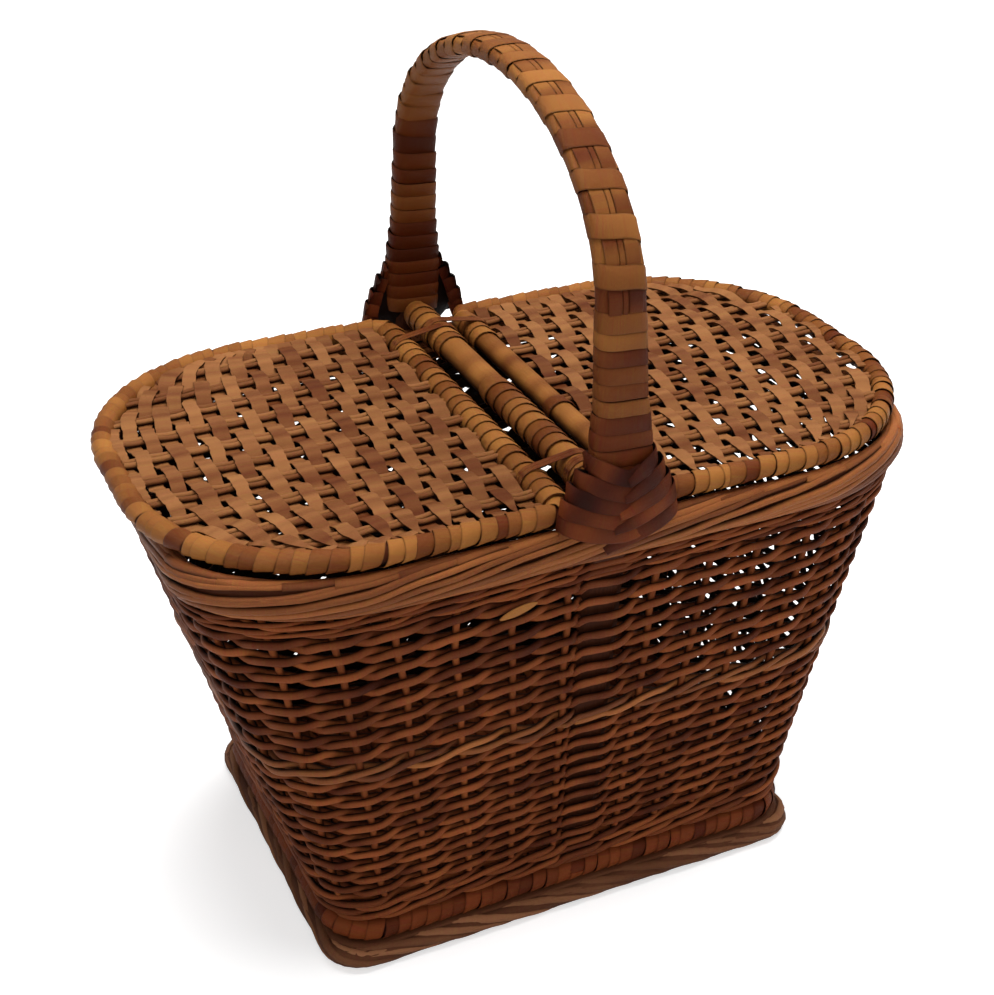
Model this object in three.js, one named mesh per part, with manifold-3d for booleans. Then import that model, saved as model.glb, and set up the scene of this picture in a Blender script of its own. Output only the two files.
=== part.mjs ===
// Wicker picnic basket: a flared woven body on a bordered foot, a fixed wrapped handle
// and two open-woven lids that turn in skein loops beside a bar across the middle.
// Millimetres. X runs along the basket, Y across it and Z up; the foot stands on Z = 0.

import * as THREE from 'three';
import Module from 'manifold-3d';
import { mergeVertices } from 'three/addons/utils/BufferGeometryUtils.js';

const wasm = await Module();
wasm.setup();

// Clearance between neighbouring pieces
const seatGap = 0.3;

// Outer face of the woven body
const bodyBottomHalfLength = 134;
const bodyBottomHalfWidth = 97;
const bodyBottomCorner = 30;
const bodyTopHalfLength = 190;
const bodyTopHalfWidth = 116;
const bodyTopCornerLength = 88;
const bodyTopCornerWidth = 58;
const wallThickness = 10;
const weaveRelief = 1.5;
const waleRelief = 1;
const stakeCount = 38;
const lowerWeaveRows = 9;
const upperWeaveRows = 8;

// Heights of the bands, from the ground up
const footHeight = 12.5;
const baseHoopHeight = 13;
const bottomWaleHeight = 15.4;
const lowerWallHeight = 80.4;
const middleWaleHeight = 9.8;
const upperWallHeight = 79.6;
const topWaleHeight = 9.8;
const rimHeight = 20.9;

// Foot border of slanting rods
const footHalfLength = 138;
const footHalfWidth = 102.5;
const footCorner = 22;
const footThickness = 11;
const footRodDepth = 1.6;
const footWidestShare = 0.25;
const footTopInset = 3.5;
const footRodCount = 36;
const footSlantShare = 0.028;

// Wrapped hoop and woven panel of the base
const baseHoopBulge = 1.2;
const baseHoopThickness = 11;
const baseHoopTurns = 28;
const basePanelThickness = 6;
const basePanelLift = 2;
const basePanelRodCount = 11;
const basePanelRodDepth = 2;

// Rim border of long rods
const rimOverhang = 4;
const rimThickness = 12;
const rimRodDepth = 1;
const rimColumns = 48;

// Lids, which overhang the body's ends and stand back from the rim's sides
const lidOverhang = 11.5;
const lidSetback = 3.5;
const lidCornerLength = 98;
const lidCornerWidth = 96;
const lidBorderRadius = 5.5;
const lidBorderTurnDepth = 0.6;
const lidBorderTurns = 25;
const lidRodPairs = 10;
const lidEdgeGapShare = 1 / 3;
const lidRodPairWidth = 6.6;
const lidSkeinCount = 8;
const lidFirstSkeinShare = 0.75;
const lidLastGapShare = 0.5;
const lidSkeinWidth = 10;
const lidWeaveThickness = 2.6;
const lidWeaveDepth = 1.2;
const lidPanelLift = 1.6;

// Hinge rods, their wraps and the loops that tie them to the bar
const hingeOffset = 22;
const hingeRodRadius = 4.2;
const hingeWrapRadius = 6.8;
const hingeNeckRadius = 5.3;
const hingeRodTurns = 9;
const loopWidth = 5;
const loopThickness = 1.2;
const loopSpacing = 7;

// Facets round a rod that its wrap fits, too
const rodSides = 8;

// Bar across the middle
const barRodRadius = 5.6;
const barWrapRadius = 8;
const barNeckRadius = 6.8;
const barTurns = 10;

// Handle
const handleOutset = 6.7;
const handleLeanIn = 8.4;
const handleSpringHeight = 343.5;
const handleTopHeight = 425;
const handleLegWidth = 25;
const handleTopWidth = 21;
const handleThickness = 12;
const handleTurnDepth = 0.8;
const handleTurns = 26;
const bowWidth = 17;
const bowThickness = 7;
const legWidth = 22;
const legThickness = 4;
const legInset = 5.9;
const legBendDepth = 38;
const legEndHeight = 48;
const lapWidth = 6.4;
const lapThickness = 1;
const lapSpacing = 7.4;
const lapEndHeight = 342;

// Fans of skein that tie the handle to the rim
const fanTopRise = 35;
const fanCollarRise = 5.5;
const fanTopHalfWidth = 15;
const fanShoulderHalfWidth = 27;
const fanShoulderRise = 5;
const fanWingHalfWidth = 30;
const fanWingRise = 26;
const fanTipHalfWidth = 12;
const fanTipDrop = 22;
const fanThickness = 2.6;

// Levels that follow from the band heights
const baseHoopBottom = footHeight + seatGap;
const bottomWaleBottom = baseHoopBottom + baseHoopHeight + seatGap;
const lowerWallBottom = bottomWaleBottom + bottomWaleHeight + seatGap;
const middleWaleBottom = lowerWallBottom + lowerWallHeight + seatGap;
const upperWallBottom = middleWaleBottom + middleWaleHeight + seatGap;
const topWaleBottom = upperWallBottom + upperWallHeight + seatGap;
const rimBottom = topWaleBottom + topWaleHeight + seatGap;
const rimTop = rimBottom + rimHeight;
const hingeHeight = rimTop + seatGap + lidBorderRadius;
const lidTop = hingeHeight + lidBorderRadius;
const barHeight = rimTop + seatGap + barWrapRadius;

// Sizes of the lids and the handle that follow from the body
const lidHalfLength = bodyTopHalfLength + lidOverhang;
const lidHalfWidth = bodyTopHalfWidth + rimOverhang - lidSetback;
const lidRodPairPitch = 2 * (lidHalfWidth - 2 * lidBorderRadius) / (lidRodPairs + lidEdgeGapShare);
const handleHalfSpanAtLids = bodyTopHalfWidth + handleOutset;
const handleHalfSpanAtSpring = handleHalfSpanAtLids - handleLeanIn;

function mix(from, to, share) {
  return from + (to - from) * share;
}

// Rectangle with elliptical corners, from the middle of the front edge and anticlockwise
function roundedOutline(halfLength, halfWidth, cornerLength, cornerWidth) {
  const straightX = halfLength - cornerLength;
  const straightY = halfWidth - cornerWidth;
  const quarter = Math.PI / 2;
  const path = new THREE.Path();
  path.moveTo(0, -halfWidth);
  path.lineTo(straightX, -halfWidth);
  path.absellipse(straightX, -straightY, cornerLength, cornerWidth, -quarter, 0, false, 0);
  path.lineTo(halfLength, straightY);
  path.absellipse(straightX, straightY, cornerLength, cornerWidth, 0, quarter, false, 0);
  path.lineTo(-straightX, halfWidth);
  path.absellipse(-straightX, straightY, cornerLength, cornerWidth, quarter, Math.PI, false, 0);
  path.lineTo(-halfLength, -straightY);
  path.absellipse(-straightX, -straightY, cornerLength, cornerWidth, Math.PI, 3 * quarter, false, 0);
  path.lineTo(0, -halfWidth);
  return path;
}

// The body's outer face at a height, moved inwards by an inset
function bodyOutline(height, inset) {
  const share = (height - bottomWaleBottom) / (rimBottom - bottomWaleBottom);
  return roundedOutline(
    mix(bodyBottomHalfLength, bodyTopHalfLength, share) - inset,
    mix(bodyBottomHalfWidth, bodyTopHalfWidth, share) - inset,
    mix(bodyBottomCorner, bodyTopCornerLength, share) - inset,
    mix(bodyBottomCorner, bodyTopCornerWidth, share) - inset,
  );
}

function bodyHalfWidth(height) {
  const share = (height - bottomWaleBottom) / (rimBottom - bottomWaleBottom);
  return mix(bodyBottomHalfWidth, bodyTopHalfWidth, share);
}

// Points spread evenly along an outline, at one height
function outlineRing(outline, columns, height, shift = 0) {
  return Array.from({ length: columns }, (_, column) => {
    const share = ((column + 0.5) / columns + shift + 1) % 1;
    const point = outline.getPoint(share);
    return new THREE.Vector3(point.x, point.y, height);
  });
}

function signedVolume(position, index) {
  const corners = [new THREE.Vector3(), new THREE.Vector3(), new THREE.Vector3()];
  let total = 0;
  for (let i = 0; i < index.length; i += 3) {
    corners.forEach((corner, k) => corner.fromArray(position, 3 * index[i + k]));
    total += corners[0].dot(corners[1].clone().cross(corners[2]));
  }
  return total / 6;
}

// A closed skin from positions and triangles, with its faces pointing out
function skin(position, index) {
  if (signedVolume(position, index) < 0) {
    index.reverse();
  }
  const geometry = new THREE.BufferGeometry();
  geometry.setAttribute('position', new THREE.Float32BufferAttribute(position, 3));
  geometry.setIndex(index);
  return geometry;
}

// A skin through sections that all have the same number of points
function loft(sections, closed) {
  const count = sections[0].length;
  const position = sections.flat().flatMap((point) => point.toArray());
  const steps = closed ? sections.length : sections.length - 1;
  const index = [];
  for (let i = 0; i < steps; i += 1) {
    const here = i * count;
    const there = ((i + 1) % sections.length) * count;
    for (let k = 0; k < count; k += 1) {
      const next = (k + 1) % count;
      index.push(here + k, there + k, there + next, here + k, there + next, here + next);
    }
  }
  if (!closed) {
    const last = steps * count;
    for (let k = 1; k < count - 1; k += 1) {
      index.push(0, k, k + 1, last, last + k + 1, last + k);
    }
  }
  return skin(position, index);
}

// Rings stacked into columns, so that a band closes on itself round the basket
function bandFromRings(rings) {
  const columns = rings[0].map((_, column) => rings.map((ring) => ring[column]));
  return loft(columns, true);
}

function toManifold(geometry) {
  const plain = geometry.clone();
  plain.deleteAttribute('normal');
  plain.deleteAttribute('uv');
  const merged = mergeVertices(plain);
  return new wasm.Manifold(new wasm.Mesh({
    numProp: 3,
    vertProperties: Float32Array.from(merged.attributes.position.array),
    triVerts: Uint32Array.from(merged.index.array),
  }));
}

function fromManifold(solid) {
  const mesh = solid.getMesh();
  const geometry = new THREE.BufferGeometry();
  geometry.setAttribute('position', new THREE.BufferAttribute(mesh.vertProperties.slice(), 3));
  geometry.setIndex(new THREE.BufferAttribute(mesh.triVerts.slice(), 1));
  return geometry;
}

function cutAway(geometry, cutters) {
  let solid = toManifold(geometry);
  cutters.forEach((cutter) => {
    solid = solid.subtract(toManifold(cutter));
  });
  return fromManifold(solid);
}

// Centre line of the handle in Y and Z, from the front leg's end over the top to the back
function handleCentreLine() {
  const bendBottom = rimBottom - legBendDepth / 2;
  const bendTop = bendBottom + legBendDepth + rimHeight;
  const legY = (height) => bodyHalfWidth(height) - legInset;
  const lean = (handleHalfSpanAtSpring - handleHalfSpanAtLids) / (handleSpringHeight - lidTop);
  const spanAt = (height) => handleHalfSpanAtLids + lean * (height - lidTop);
  const reach = (bendTop - bendBottom) / 3;
  const path = new THREE.Path();
  path.moveTo(-legY(legEndHeight), legEndHeight);
  path.lineTo(-legY(bendBottom), bendBottom);
  path.bezierCurveTo(
    -legY(bendBottom + reach), bendBottom + reach,
    -spanAt(bendTop - reach), bendTop - reach,
    -spanAt(bendTop), bendTop,
  );
  path.lineTo(-handleHalfSpanAtSpring, handleSpringHeight);
  path.absellipse(
    0, handleSpringHeight,
    handleHalfSpanAtSpring, handleTopHeight - handleSpringHeight,
    Math.PI, 0, true, 0,
  );
  path.lineTo(spanAt(bendTop), bendTop);
  path.bezierCurveTo(
    spanAt(bendTop - reach), bendTop - reach,
    legY(bendBottom + reach), bendBottom + reach,
    legY(bendBottom), bendBottom,
  );
  path.lineTo(legY(legEndHeight), legEndHeight);
  return path;
}

const handleLine = handleCentreLine();

// Share of the handle line's length at which its front half reaches a height
function handleShareAt(height) {
  let low = 0;
  let high = 0.5;
  while (high - low > Number.EPSILON * 16) {
    const middle = (low + high) / 2;
    if (handleLine.getPoint(middle).y < height) {
      low = middle;
    } else {
      high = middle;
    }
  }
  return low;
}

// Flat six-sided section, as wide as given along X and as thick across the handle
const sectionFlatShare = 1 / 3;
function handleSection(share, width, thickness, lift = 0, shift = 0) {
  const centre = handleLine.getPoint(share);
  const along = handleLine.getTangent(share);
  const out = new THREE.Vector2(-along.y, along.x);
  const corners = [
    [width / 2, 0],
    [width * sectionFlatShare, thickness / 2],
    [-width * sectionFlatShare, thickness / 2],
    [-width / 2, 0],
    [-width * sectionFlatShare, -thickness / 2],
    [width * sectionFlatShare, -thickness / 2],
  ];
  return corners.map(([x, depth]) => new THREE.Vector3(
    x + shift,
    centre.x + out.x * (depth + lift),
    centre.y + out.y * (depth + lift),
  ));
}

// Width of the wrapped handle, which narrows towards its top
function handleWidthAt(share) {
  const rise = (handleLine.getPoint(share).y - lidTop) / (handleTopHeight - lidTop);
  return mix(handleLegWidth, handleTopWidth, Math.max(0, rise));
}

const wrapStartShare = handleShareAt(lidTop);
const wrapShares = Array.from(
  { length: handleTurns + 1 },
  (_, turn) => mix(wrapStartShare, 1 - wrapStartShare, turn / handleTurns),
);
const legShares = [0, 0.25, 0.5, 0.75, 0.84, 0.92].map(
  (share) => share * handleShareAt(rimTop),
);

// The bow's own sections: flat legs in the walls, and a stout bow under the wrap
function bowSections(extra) {
  const flat = (share) => handleSection(share, legWidth + extra, legThickness + extra);
  const stout = (share) => handleSection(share, bowWidth + extra, bowThickness + extra);
  const legs = [...legShares, handleShareAt(rimTop)];
  return [
    ...legs.map(flat),
    ...wrapShares.map(stout),
    ...legs.map((share) => flat(1 - share)).reverse(),
  ];
}

function handleBow() {
  return loft(bowSections(0), false);
}

// Room for the bow, which the bands that it passes through are cut with
const bowRoom = loft(bowSections(2 * seatGap), false);

function handleWrap() {
  const last = wrapShares.length - 1;
  const outerSection = (share, sunk) => handleSection(
    share,
    handleWidthAt(share) - sunk,
    handleThickness - sunk,
  );
  const outer = wrapShares.slice(0, last).flatMap((share, turn) => [
    outerSection(share, handleTurnDepth),
    outerSection(wrapShares[turn + 1], 0),
  ]);
  const inner = wrapShares.map(
    (share) => handleSection(share, bowWidth + 2 * seatGap, bowThickness + 2 * seatGap),
  );
  return loft([...outer, ...inner.reverse()], true);
}

// A lengthwise skein laid over the wrap on the outer side of the bow
function handleLap(side) {
  const lift = handleThickness / 2 + seatGap + lapThickness / 2;
  const endShare = handleShareAt(lapEndHeight);
  const covered = wrapShares.filter((share) => share > endShare && share < 1 - endShare);
  const sections = covered.map(
    (share) => handleSection(share, lapWidth, lapThickness, lift, side * lapSpacing / 2),
  );
  return loft(sections, false);
}

// One band of twined weave: each row stands out over the stakes and sinks between them
function weaveBand(bottom, height, rows) {
  const halfStake = 1 / (2 * stakeCount);
  const grooveRing = (inset, level) => outlineRing(bodyOutline(level, inset), stakeCount, level,
    halfStake);
  const outerRings = Array.from({ length: 2 * rows + 1 }, (_, step) => {
    const level = bottom + height * step / (2 * rows);
    return step % 2
      ? outlineRing(bodyOutline(level, 0), stakeCount, level)
      : grooveRing(2 * weaveRelief, level);
  });
  const innerRings = [bottom + height, bottom].map((level) => grooveRing(wallThickness, level));
  return cutAway(bandFromRings([...outerRings, ...innerRings]), [bowRoom]);
}

// A wale: rods twined round the stakes, so that their ridge climbs and falls
function waleBand(bottom, height) {
  const top = bottom + height;
  const middle = bottom + height / 2;
  const wander = height / 6;
  const ridge = outlineRing(bodyOutline(middle, -waleRelief), stakeCount, middle);
  ridge.forEach((point, column) => {
    point.z += column % 2 ? wander : -wander;
  });
  const edgeRing = (level, inset) => outlineRing(bodyOutline(level, inset), stakeCount, level);
  const rings = [
    edgeRing(bottom, waleRelief),
    ridge,
    edgeRing(top, waleRelief),
    edgeRing(top, wallThickness),
    edgeRing(bottom, wallThickness),
  ];
  return bottom > legEndHeight ? cutAway(bandFromRings(rings), [bowRoom]) : bandFromRings(rings);
}

function footBorder() {
  const columns = 2 * footRodCount;
  const outline = (inset) => roundedOutline(
    footHalfLength - inset,
    footHalfWidth - inset,
    footCorner - inset,
    footCorner - inset,
  );
  const rodRing = (inset, height, shift) => {
    const proud = outlineRing(outline(inset), columns, height, shift);
    const sunk = outlineRing(outline(inset + footRodDepth), columns, height, shift);
    return proud.map((point, column) => (column % 2 ? point : sunk[column]));
  };
  const plainRing = (height) => outlineRing(outline(footThickness), columns, height);
  const rings = [
    rodRing(footRodDepth, 0, -footSlantShare / 2),
    rodRing(0, footHeight * footWidestShare, footSlantShare * (footWidestShare - 1 / 2)),
    rodRing(footTopInset, footHeight, footSlantShare / 2),
    plainRing(footHeight),
    plainRing(0),
  ];
  return bandFromRings(rings);
}

// Outline of the base hoop, and of what lies inside it
function baseOutline(inset) {
  return roundedOutline(
    bodyBottomHalfLength + baseHoopBulge - inset,
    bodyBottomHalfWidth + baseHoopBulge - inset,
    bodyBottomCorner + baseHoopBulge - inset,
    bodyBottomCorner + baseHoopBulge - inset,
  );
}

function baseHoop() {
  const columns = 2 * baseHoopTurns;
  const top = baseHoopBottom + baseHoopHeight;
  const middle = baseHoopBottom + baseHoopHeight / 2;
  const ring = (inset, height) => outlineRing(baseOutline(inset), columns, height);
  const proud = ring(0, middle);
  const sunk = ring(baseHoopBulge, middle);
  const rings = [
    ring(2 * baseHoopBulge, baseHoopBottom),
    proud.map((point, column) => (column % 2 ? point : sunk[column])),
    ring(2 * baseHoopBulge, top),
    ring(baseHoopThickness, top),
    ring(baseHoopThickness, baseHoopBottom),
  ];
  return bandFromRings(rings);
}

// Woven base: rods that lie side by side along the basket, trimmed to the hoop's inside
function basePanel() {
  const underside = baseHoopBottom + basePanelLift;
  const edge = outlineRing(baseOutline(baseHoopThickness + seatGap), 2 * baseHoopTurns, underside);
  const halfLength = Math.max(...edge.map((point) => point.x));
  const halfWidth = Math.max(...edge.map((point) => point.y));
  const rodPitch = 2 * halfWidth / basePanelRodCount;
  const ridges = new THREE.Shape();
  ridges.moveTo(-halfWidth, underside);
  for (let rodPlace = 0; rodPlace < basePanelRodCount; rodPlace += 1) {
    const start = rodPlace * rodPitch - halfWidth;
    ridges.lineTo(start, underside + basePanelThickness - basePanelRodDepth);
    ridges.lineTo(start + rodPitch / 2, underside + basePanelThickness);
  }
  ridges.lineTo(halfWidth, underside + basePanelThickness - basePanelRodDepth);
  ridges.lineTo(halfWidth, underside);
  const rods = new THREE.ExtrudeGeometry(ridges, { depth: 2 * halfLength, bevelEnabled: false });
  rods.rotateX(Math.PI / 2);
  rods.rotateZ(Math.PI / 2);
  rods.translate(-halfLength, 0, 0);
  const plan = new THREE.Shape(edge.map((point) => new THREE.Vector2(point.x, point.y)));
  const trim = new THREE.ExtrudeGeometry(plan, { depth: lidTop, bevelEnabled: false });
  return fromManifold(toManifold(rods).intersect(toManifold(trim)));
}

function rimBorder() {
  const halfLength = bodyTopHalfLength + rimOverhang;
  const halfWidth = bodyTopHalfWidth + rimOverhang;
  const outline = (inset) => roundedOutline(
    halfLength - inset,
    halfWidth - inset,
    bodyTopCornerLength + rimOverhang - inset,
    bodyTopCornerWidth + rimOverhang - inset,
  );
  const ring = (inset, height) => outlineRing(outline(inset), rimColumns, height);
  const rodRing = (height, phase) => ring(0, height).map((point, column) => {
    const sunk = outline(2 * rimRodDepth).getPoint((column + 0.5) / rimColumns);
    const proud = (column + phase) % 3 !== 0;
    return proud ? point : new THREE.Vector3(sunk.x, sunk.y, height);
  });
  const rings = [
    ring(2 * rimRodDepth, rimBottom),
    rodRing(rimBottom + rimHeight / 3, 0),
    rodRing(rimBottom + rimHeight * 2 / 3, 1),
    ring(2 * rimRodDepth, rimTop),
    ring(rimThickness, rimTop),
    ring(rimThickness, rimBottom),
  ];
  return cutAway(bandFromRings(rings), [bowRoom]);
}

// Where the handle's inner face lies over a range of heights
function handleInnerFace(low, high) {
  const steps = 200;
  const faces = Array.from({ length: steps + 1 }, (_, step) => {
    const point = handleLine.getPoint(step / steps / 2);
    const half = point.y < lidTop ? Math.max(legThickness, bowThickness) / 2 : handleThickness / 2;
    return point.y > low && point.y < high ? -point.x - half : Infinity;
  });
  return Math.min(...faces);
}

// Half-lengths along Y, and the places of the loops between the outer rod pairs
const barHalfLength = handleInnerFace(rimTop, barHeight + barWrapRadius) - seatGap;
const hingeRodHalfLength = lidHalfWidth - 2 * lidBorderRadius - seatGap;
const loopCentre = lidRodPairPitch * (lidRodPairs / 2 - 1);
const loopPlace = (side) => loopCentre + side * loopSpacing / 2;
const neckStart = loopPlace(-1) - loopWidth / 2 - seatGap;
const neckEnd = loopPlace(1) + loopWidth / 2 + seatGap;

function rod(radius, halfLength) {
  return new THREE.CylinderGeometry(radius, radius, 2 * halfLength, rodSides);
}

// A wrap wound along a rod, drawn in where the hinge loops lie over it
function rodWrap(innerRadius, outerRadius, neckRadius, turnDepth, turns, halfLength) {
  const turnPoints = (from, to, count) => Array.from({ length: count }, (_, turn) => [
    new THREE.Vector2(outerRadius - turnDepth, mix(from, to, turn / count)),
    new THREE.Vector2(outerRadius, mix(from, to, (turn + 1) / count)),
  ]).flat();
  const endTurns = Math.max(1, Math.round(turns * (halfLength - neckEnd) / (2 * halfLength)));
  const neck = (from, to) => [
    new THREE.Vector2(neckRadius, from),
    new THREE.Vector2(neckRadius, to),
  ];
  const profile = [
    new THREE.Vector2(innerRadius, -halfLength),
    ...turnPoints(-halfLength, -neckEnd, endTurns),
    ...neck(-neckEnd, -neckStart),
    ...turnPoints(-neckStart, neckStart, turns - 2 * endTurns),
    ...neck(neckStart, neckEnd),
    ...turnPoints(neckEnd, halfLength, endTurns),
    new THREE.Vector2(innerRadius, halfLength),
    new THREE.Vector2(innerRadius, -halfLength),
  ];
  return new THREE.LatheGeometry(profile, rodSides);
}

// A flat skein loop round the bar and one hinge rod, seen along Y
function hingeLoop() {
  const barReach = barNeckRadius + seatGap;
  const rodReach = hingeNeckRadius + seatGap;
  const drop = hingeHeight - barHeight;
  const distance = Math.hypot(hingeOffset, drop);
  const heading = Math.atan2(drop, hingeOffset);
  const spread = Math.acos((barReach - rodReach) / distance);
  const arcSteps = 7;
  const facetReach = 1 / Math.cos(Math.PI / (2 * arcSteps));
  const bend = (centreX, centreZ, radius, from, to) => Array.from(
    { length: arcSteps + 1 },
    (_, step) => {
      const angle = heading + mix(from, to, step / arcSteps);
      return { centreX, centreZ, radius, angle };
    },
  );
  const stations = [
    ...bend(hingeOffset, drop, rodReach, -spread, spread),
    ...bend(0, 0, barReach, spread, 2 * Math.PI - spread),
  ];
  const sections = stations.map(({ centreX, centreZ, radius, angle }) => {
    const at = (extra, y) => new THREE.Vector3(
      centreX + Math.cos(angle) * (radius * facetReach + extra),
      y,
      centreZ + Math.sin(angle) * (radius * facetReach + extra),
    );
    return [
      at(0, -loopWidth / 2),
      at(loopThickness, -loopWidth / 2),
      at(loopThickness, loopWidth / 2),
      at(0, loopWidth / 2),
    ];
  });
  return loft(sections, true);
}

// A prism from an outline seen from the front, or from the side, with Z up in both
function frontPrism(points) {
  const shape = new THREE.Shape(points.map(([x, z]) => new THREE.Vector2(x, z)));
  const prism = new THREE.ExtrudeGeometry(shape, { depth: lidHalfLength, bevelEnabled: false });
  prism.rotateX(Math.PI / 2);
  return toManifold(prism);
}

function sidePrism(points) {
  const shape = new THREE.Shape(points.map(([y, z]) => new THREE.Vector2(y, z)));
  const depth = 4 * fanWingHalfWidth;
  const prism = new THREE.ExtrudeGeometry(shape, { depth, bevelEnabled: false });
  prism.rotateX(Math.PI / 2);
  prism.rotateZ(Math.PI / 2);
  prism.translate(-depth / 2, 0, 0);
  return toManifold(prism);
}

// A tie of crossed skeins: wings over the rim outside the lids, and a collar round the leg
function handleFan() {
  const rimFace = bodyTopHalfWidth + rimOverhang + seatGap;
  const lidFace = lidHalfWidth + seatGap;
  const topHeight = lidTop + fanTopRise;
  const collarBottom = lidTop + fanCollarRise;
  const tipHeight = lidTop - fanTipDrop;
  const topShare = handleShareAt(topHeight);
  const legAtTop = -handleLine.getPoint(topShare).x;
  const skinOut = handleThickness / 2 + fanThickness;
  const legFace = handleHalfSpanAtLids + skinOut;
  const wingTop = lidTop + fanWingRise;
  const mirrored = (points) => [...points, ...points.map(([x, z]) => [-x, z]).reverse()];
  const wings = frontPrism(mirrored([
    [fanTipHalfWidth, tipHeight],
    [fanWingHalfWidth, lidTop - lidBorderRadius],
    [fanShoulderHalfWidth, lidTop + fanShoulderRise],
    [fanTopHalfWidth, wingTop],
  ])).intersect(sidePrism([
    [-rimFace, tipHeight],
    [-rimFace, rimTop + seatGap],
    [-lidFace, rimTop + seatGap],
    [-lidFace, wingTop],
    [-legFace, wingTop],
    [-legFace, lidTop - lidBorderRadius],
    [-rimFace - fanThickness, tipHeight],
  ]));
  const collar = frontPrism(mirrored([
    [fanTopHalfWidth, collarBottom],
    [fanTopHalfWidth, topHeight],
  ])).intersect(sidePrism([
    [skinOut - handleHalfSpanAtLids, collarBottom],
    [skinOut - legAtTop, topHeight],
    [-legAtTop - skinOut, topHeight],
    [-legFace, collarBottom],
  ]));
  const room = loft([handleShareAt(rimBottom), handleShareAt(rimTop), wrapStartShare, ...wrapShares]
    .filter((share, place, list) => share < 0.5 && share !== list[place - 1])
    .map((share) => handleSection(
      share,
      handleWidthAt(share) + 2 * seatGap,
      handleThickness + 2 * seatGap,
    )), false);
  return fromManifold(wings.add(collar).subtract(toManifold(room)));
}

// Centre line of a lid's border, from the hinge axis round three sides, in the lid's own place
function lidBorderLine() {
  const halfWidth = lidHalfWidth - lidBorderRadius;
  const reach = lidHalfLength - lidBorderRadius - hingeOffset;
  const cornerLength = lidCornerLength - lidBorderRadius;
  const cornerWidth = lidCornerWidth - lidBorderRadius;
  const straightX = reach - cornerLength;
  const straightY = halfWidth - cornerWidth;
  const path = new THREE.Path();
  path.moveTo(0, -halfWidth);
  path.lineTo(straightX, -halfWidth);
  path.absellipse(straightX, -straightY, cornerLength, cornerWidth, -Math.PI / 2, 0, false, 0);
  path.lineTo(reach, straightY);
  path.absellipse(straightX, straightY, cornerLength, cornerWidth, 0, Math.PI / 2, false, 0);
  path.lineTo(0, halfWidth);
  return path;
}

// How far the facets of a lid's border cut inside its tightest bend
function lidBorderSag() {
  const step = lidBorderLine().getLength() / lidBorderTurns;
  const cornerLength = lidCornerLength - lidBorderRadius;
  const cornerWidth = lidCornerWidth - lidBorderRadius;
  const tightest = Math.min(cornerWidth ** 2 / cornerLength, cornerLength ** 2 / cornerWidth);
  return step ** 2 / (8 * tightest);
}

// Border of a lid: a wrapped rod with stepped turns
function lidBorder() {
  const path = lidBorderLine();
  const section = (share, radius) => {
    const centre = path.getPoint(share);
    const along = path.getTangent(share);
    return Array.from({ length: 6 }, (_, side) => {
      const angle = Math.PI * side / 3 + Math.PI / 2;
      const out = Math.cos(angle) * radius;
      return new THREE.Vector3(
        centre.x + along.y * out,
        centre.y - along.x * out,
        Math.sin(angle) * radius,
      );
    });
  };
  const sections = Array.from({ length: lidBorderTurns }, (_, turn) => [
    section(turn / lidBorderTurns, lidBorderRadius - lidBorderTurnDepth),
    section((turn + 1) / lidBorderTurns, lidBorderRadius),
  ]).flat();
  return loft(sections, false);
}

// Inside edge of a lid's border: how far a strand may reach along X or Y
function lidInnerReach(offset, half, corner, crossHalf, crossCorner) {
  const bend = Math.max(0, Math.abs(offset) - (crossHalf - crossCorner)) / crossCorner;
  return half - corner + corner * Math.sqrt(Math.max(0, 1 - bend * bend));
}

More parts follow.
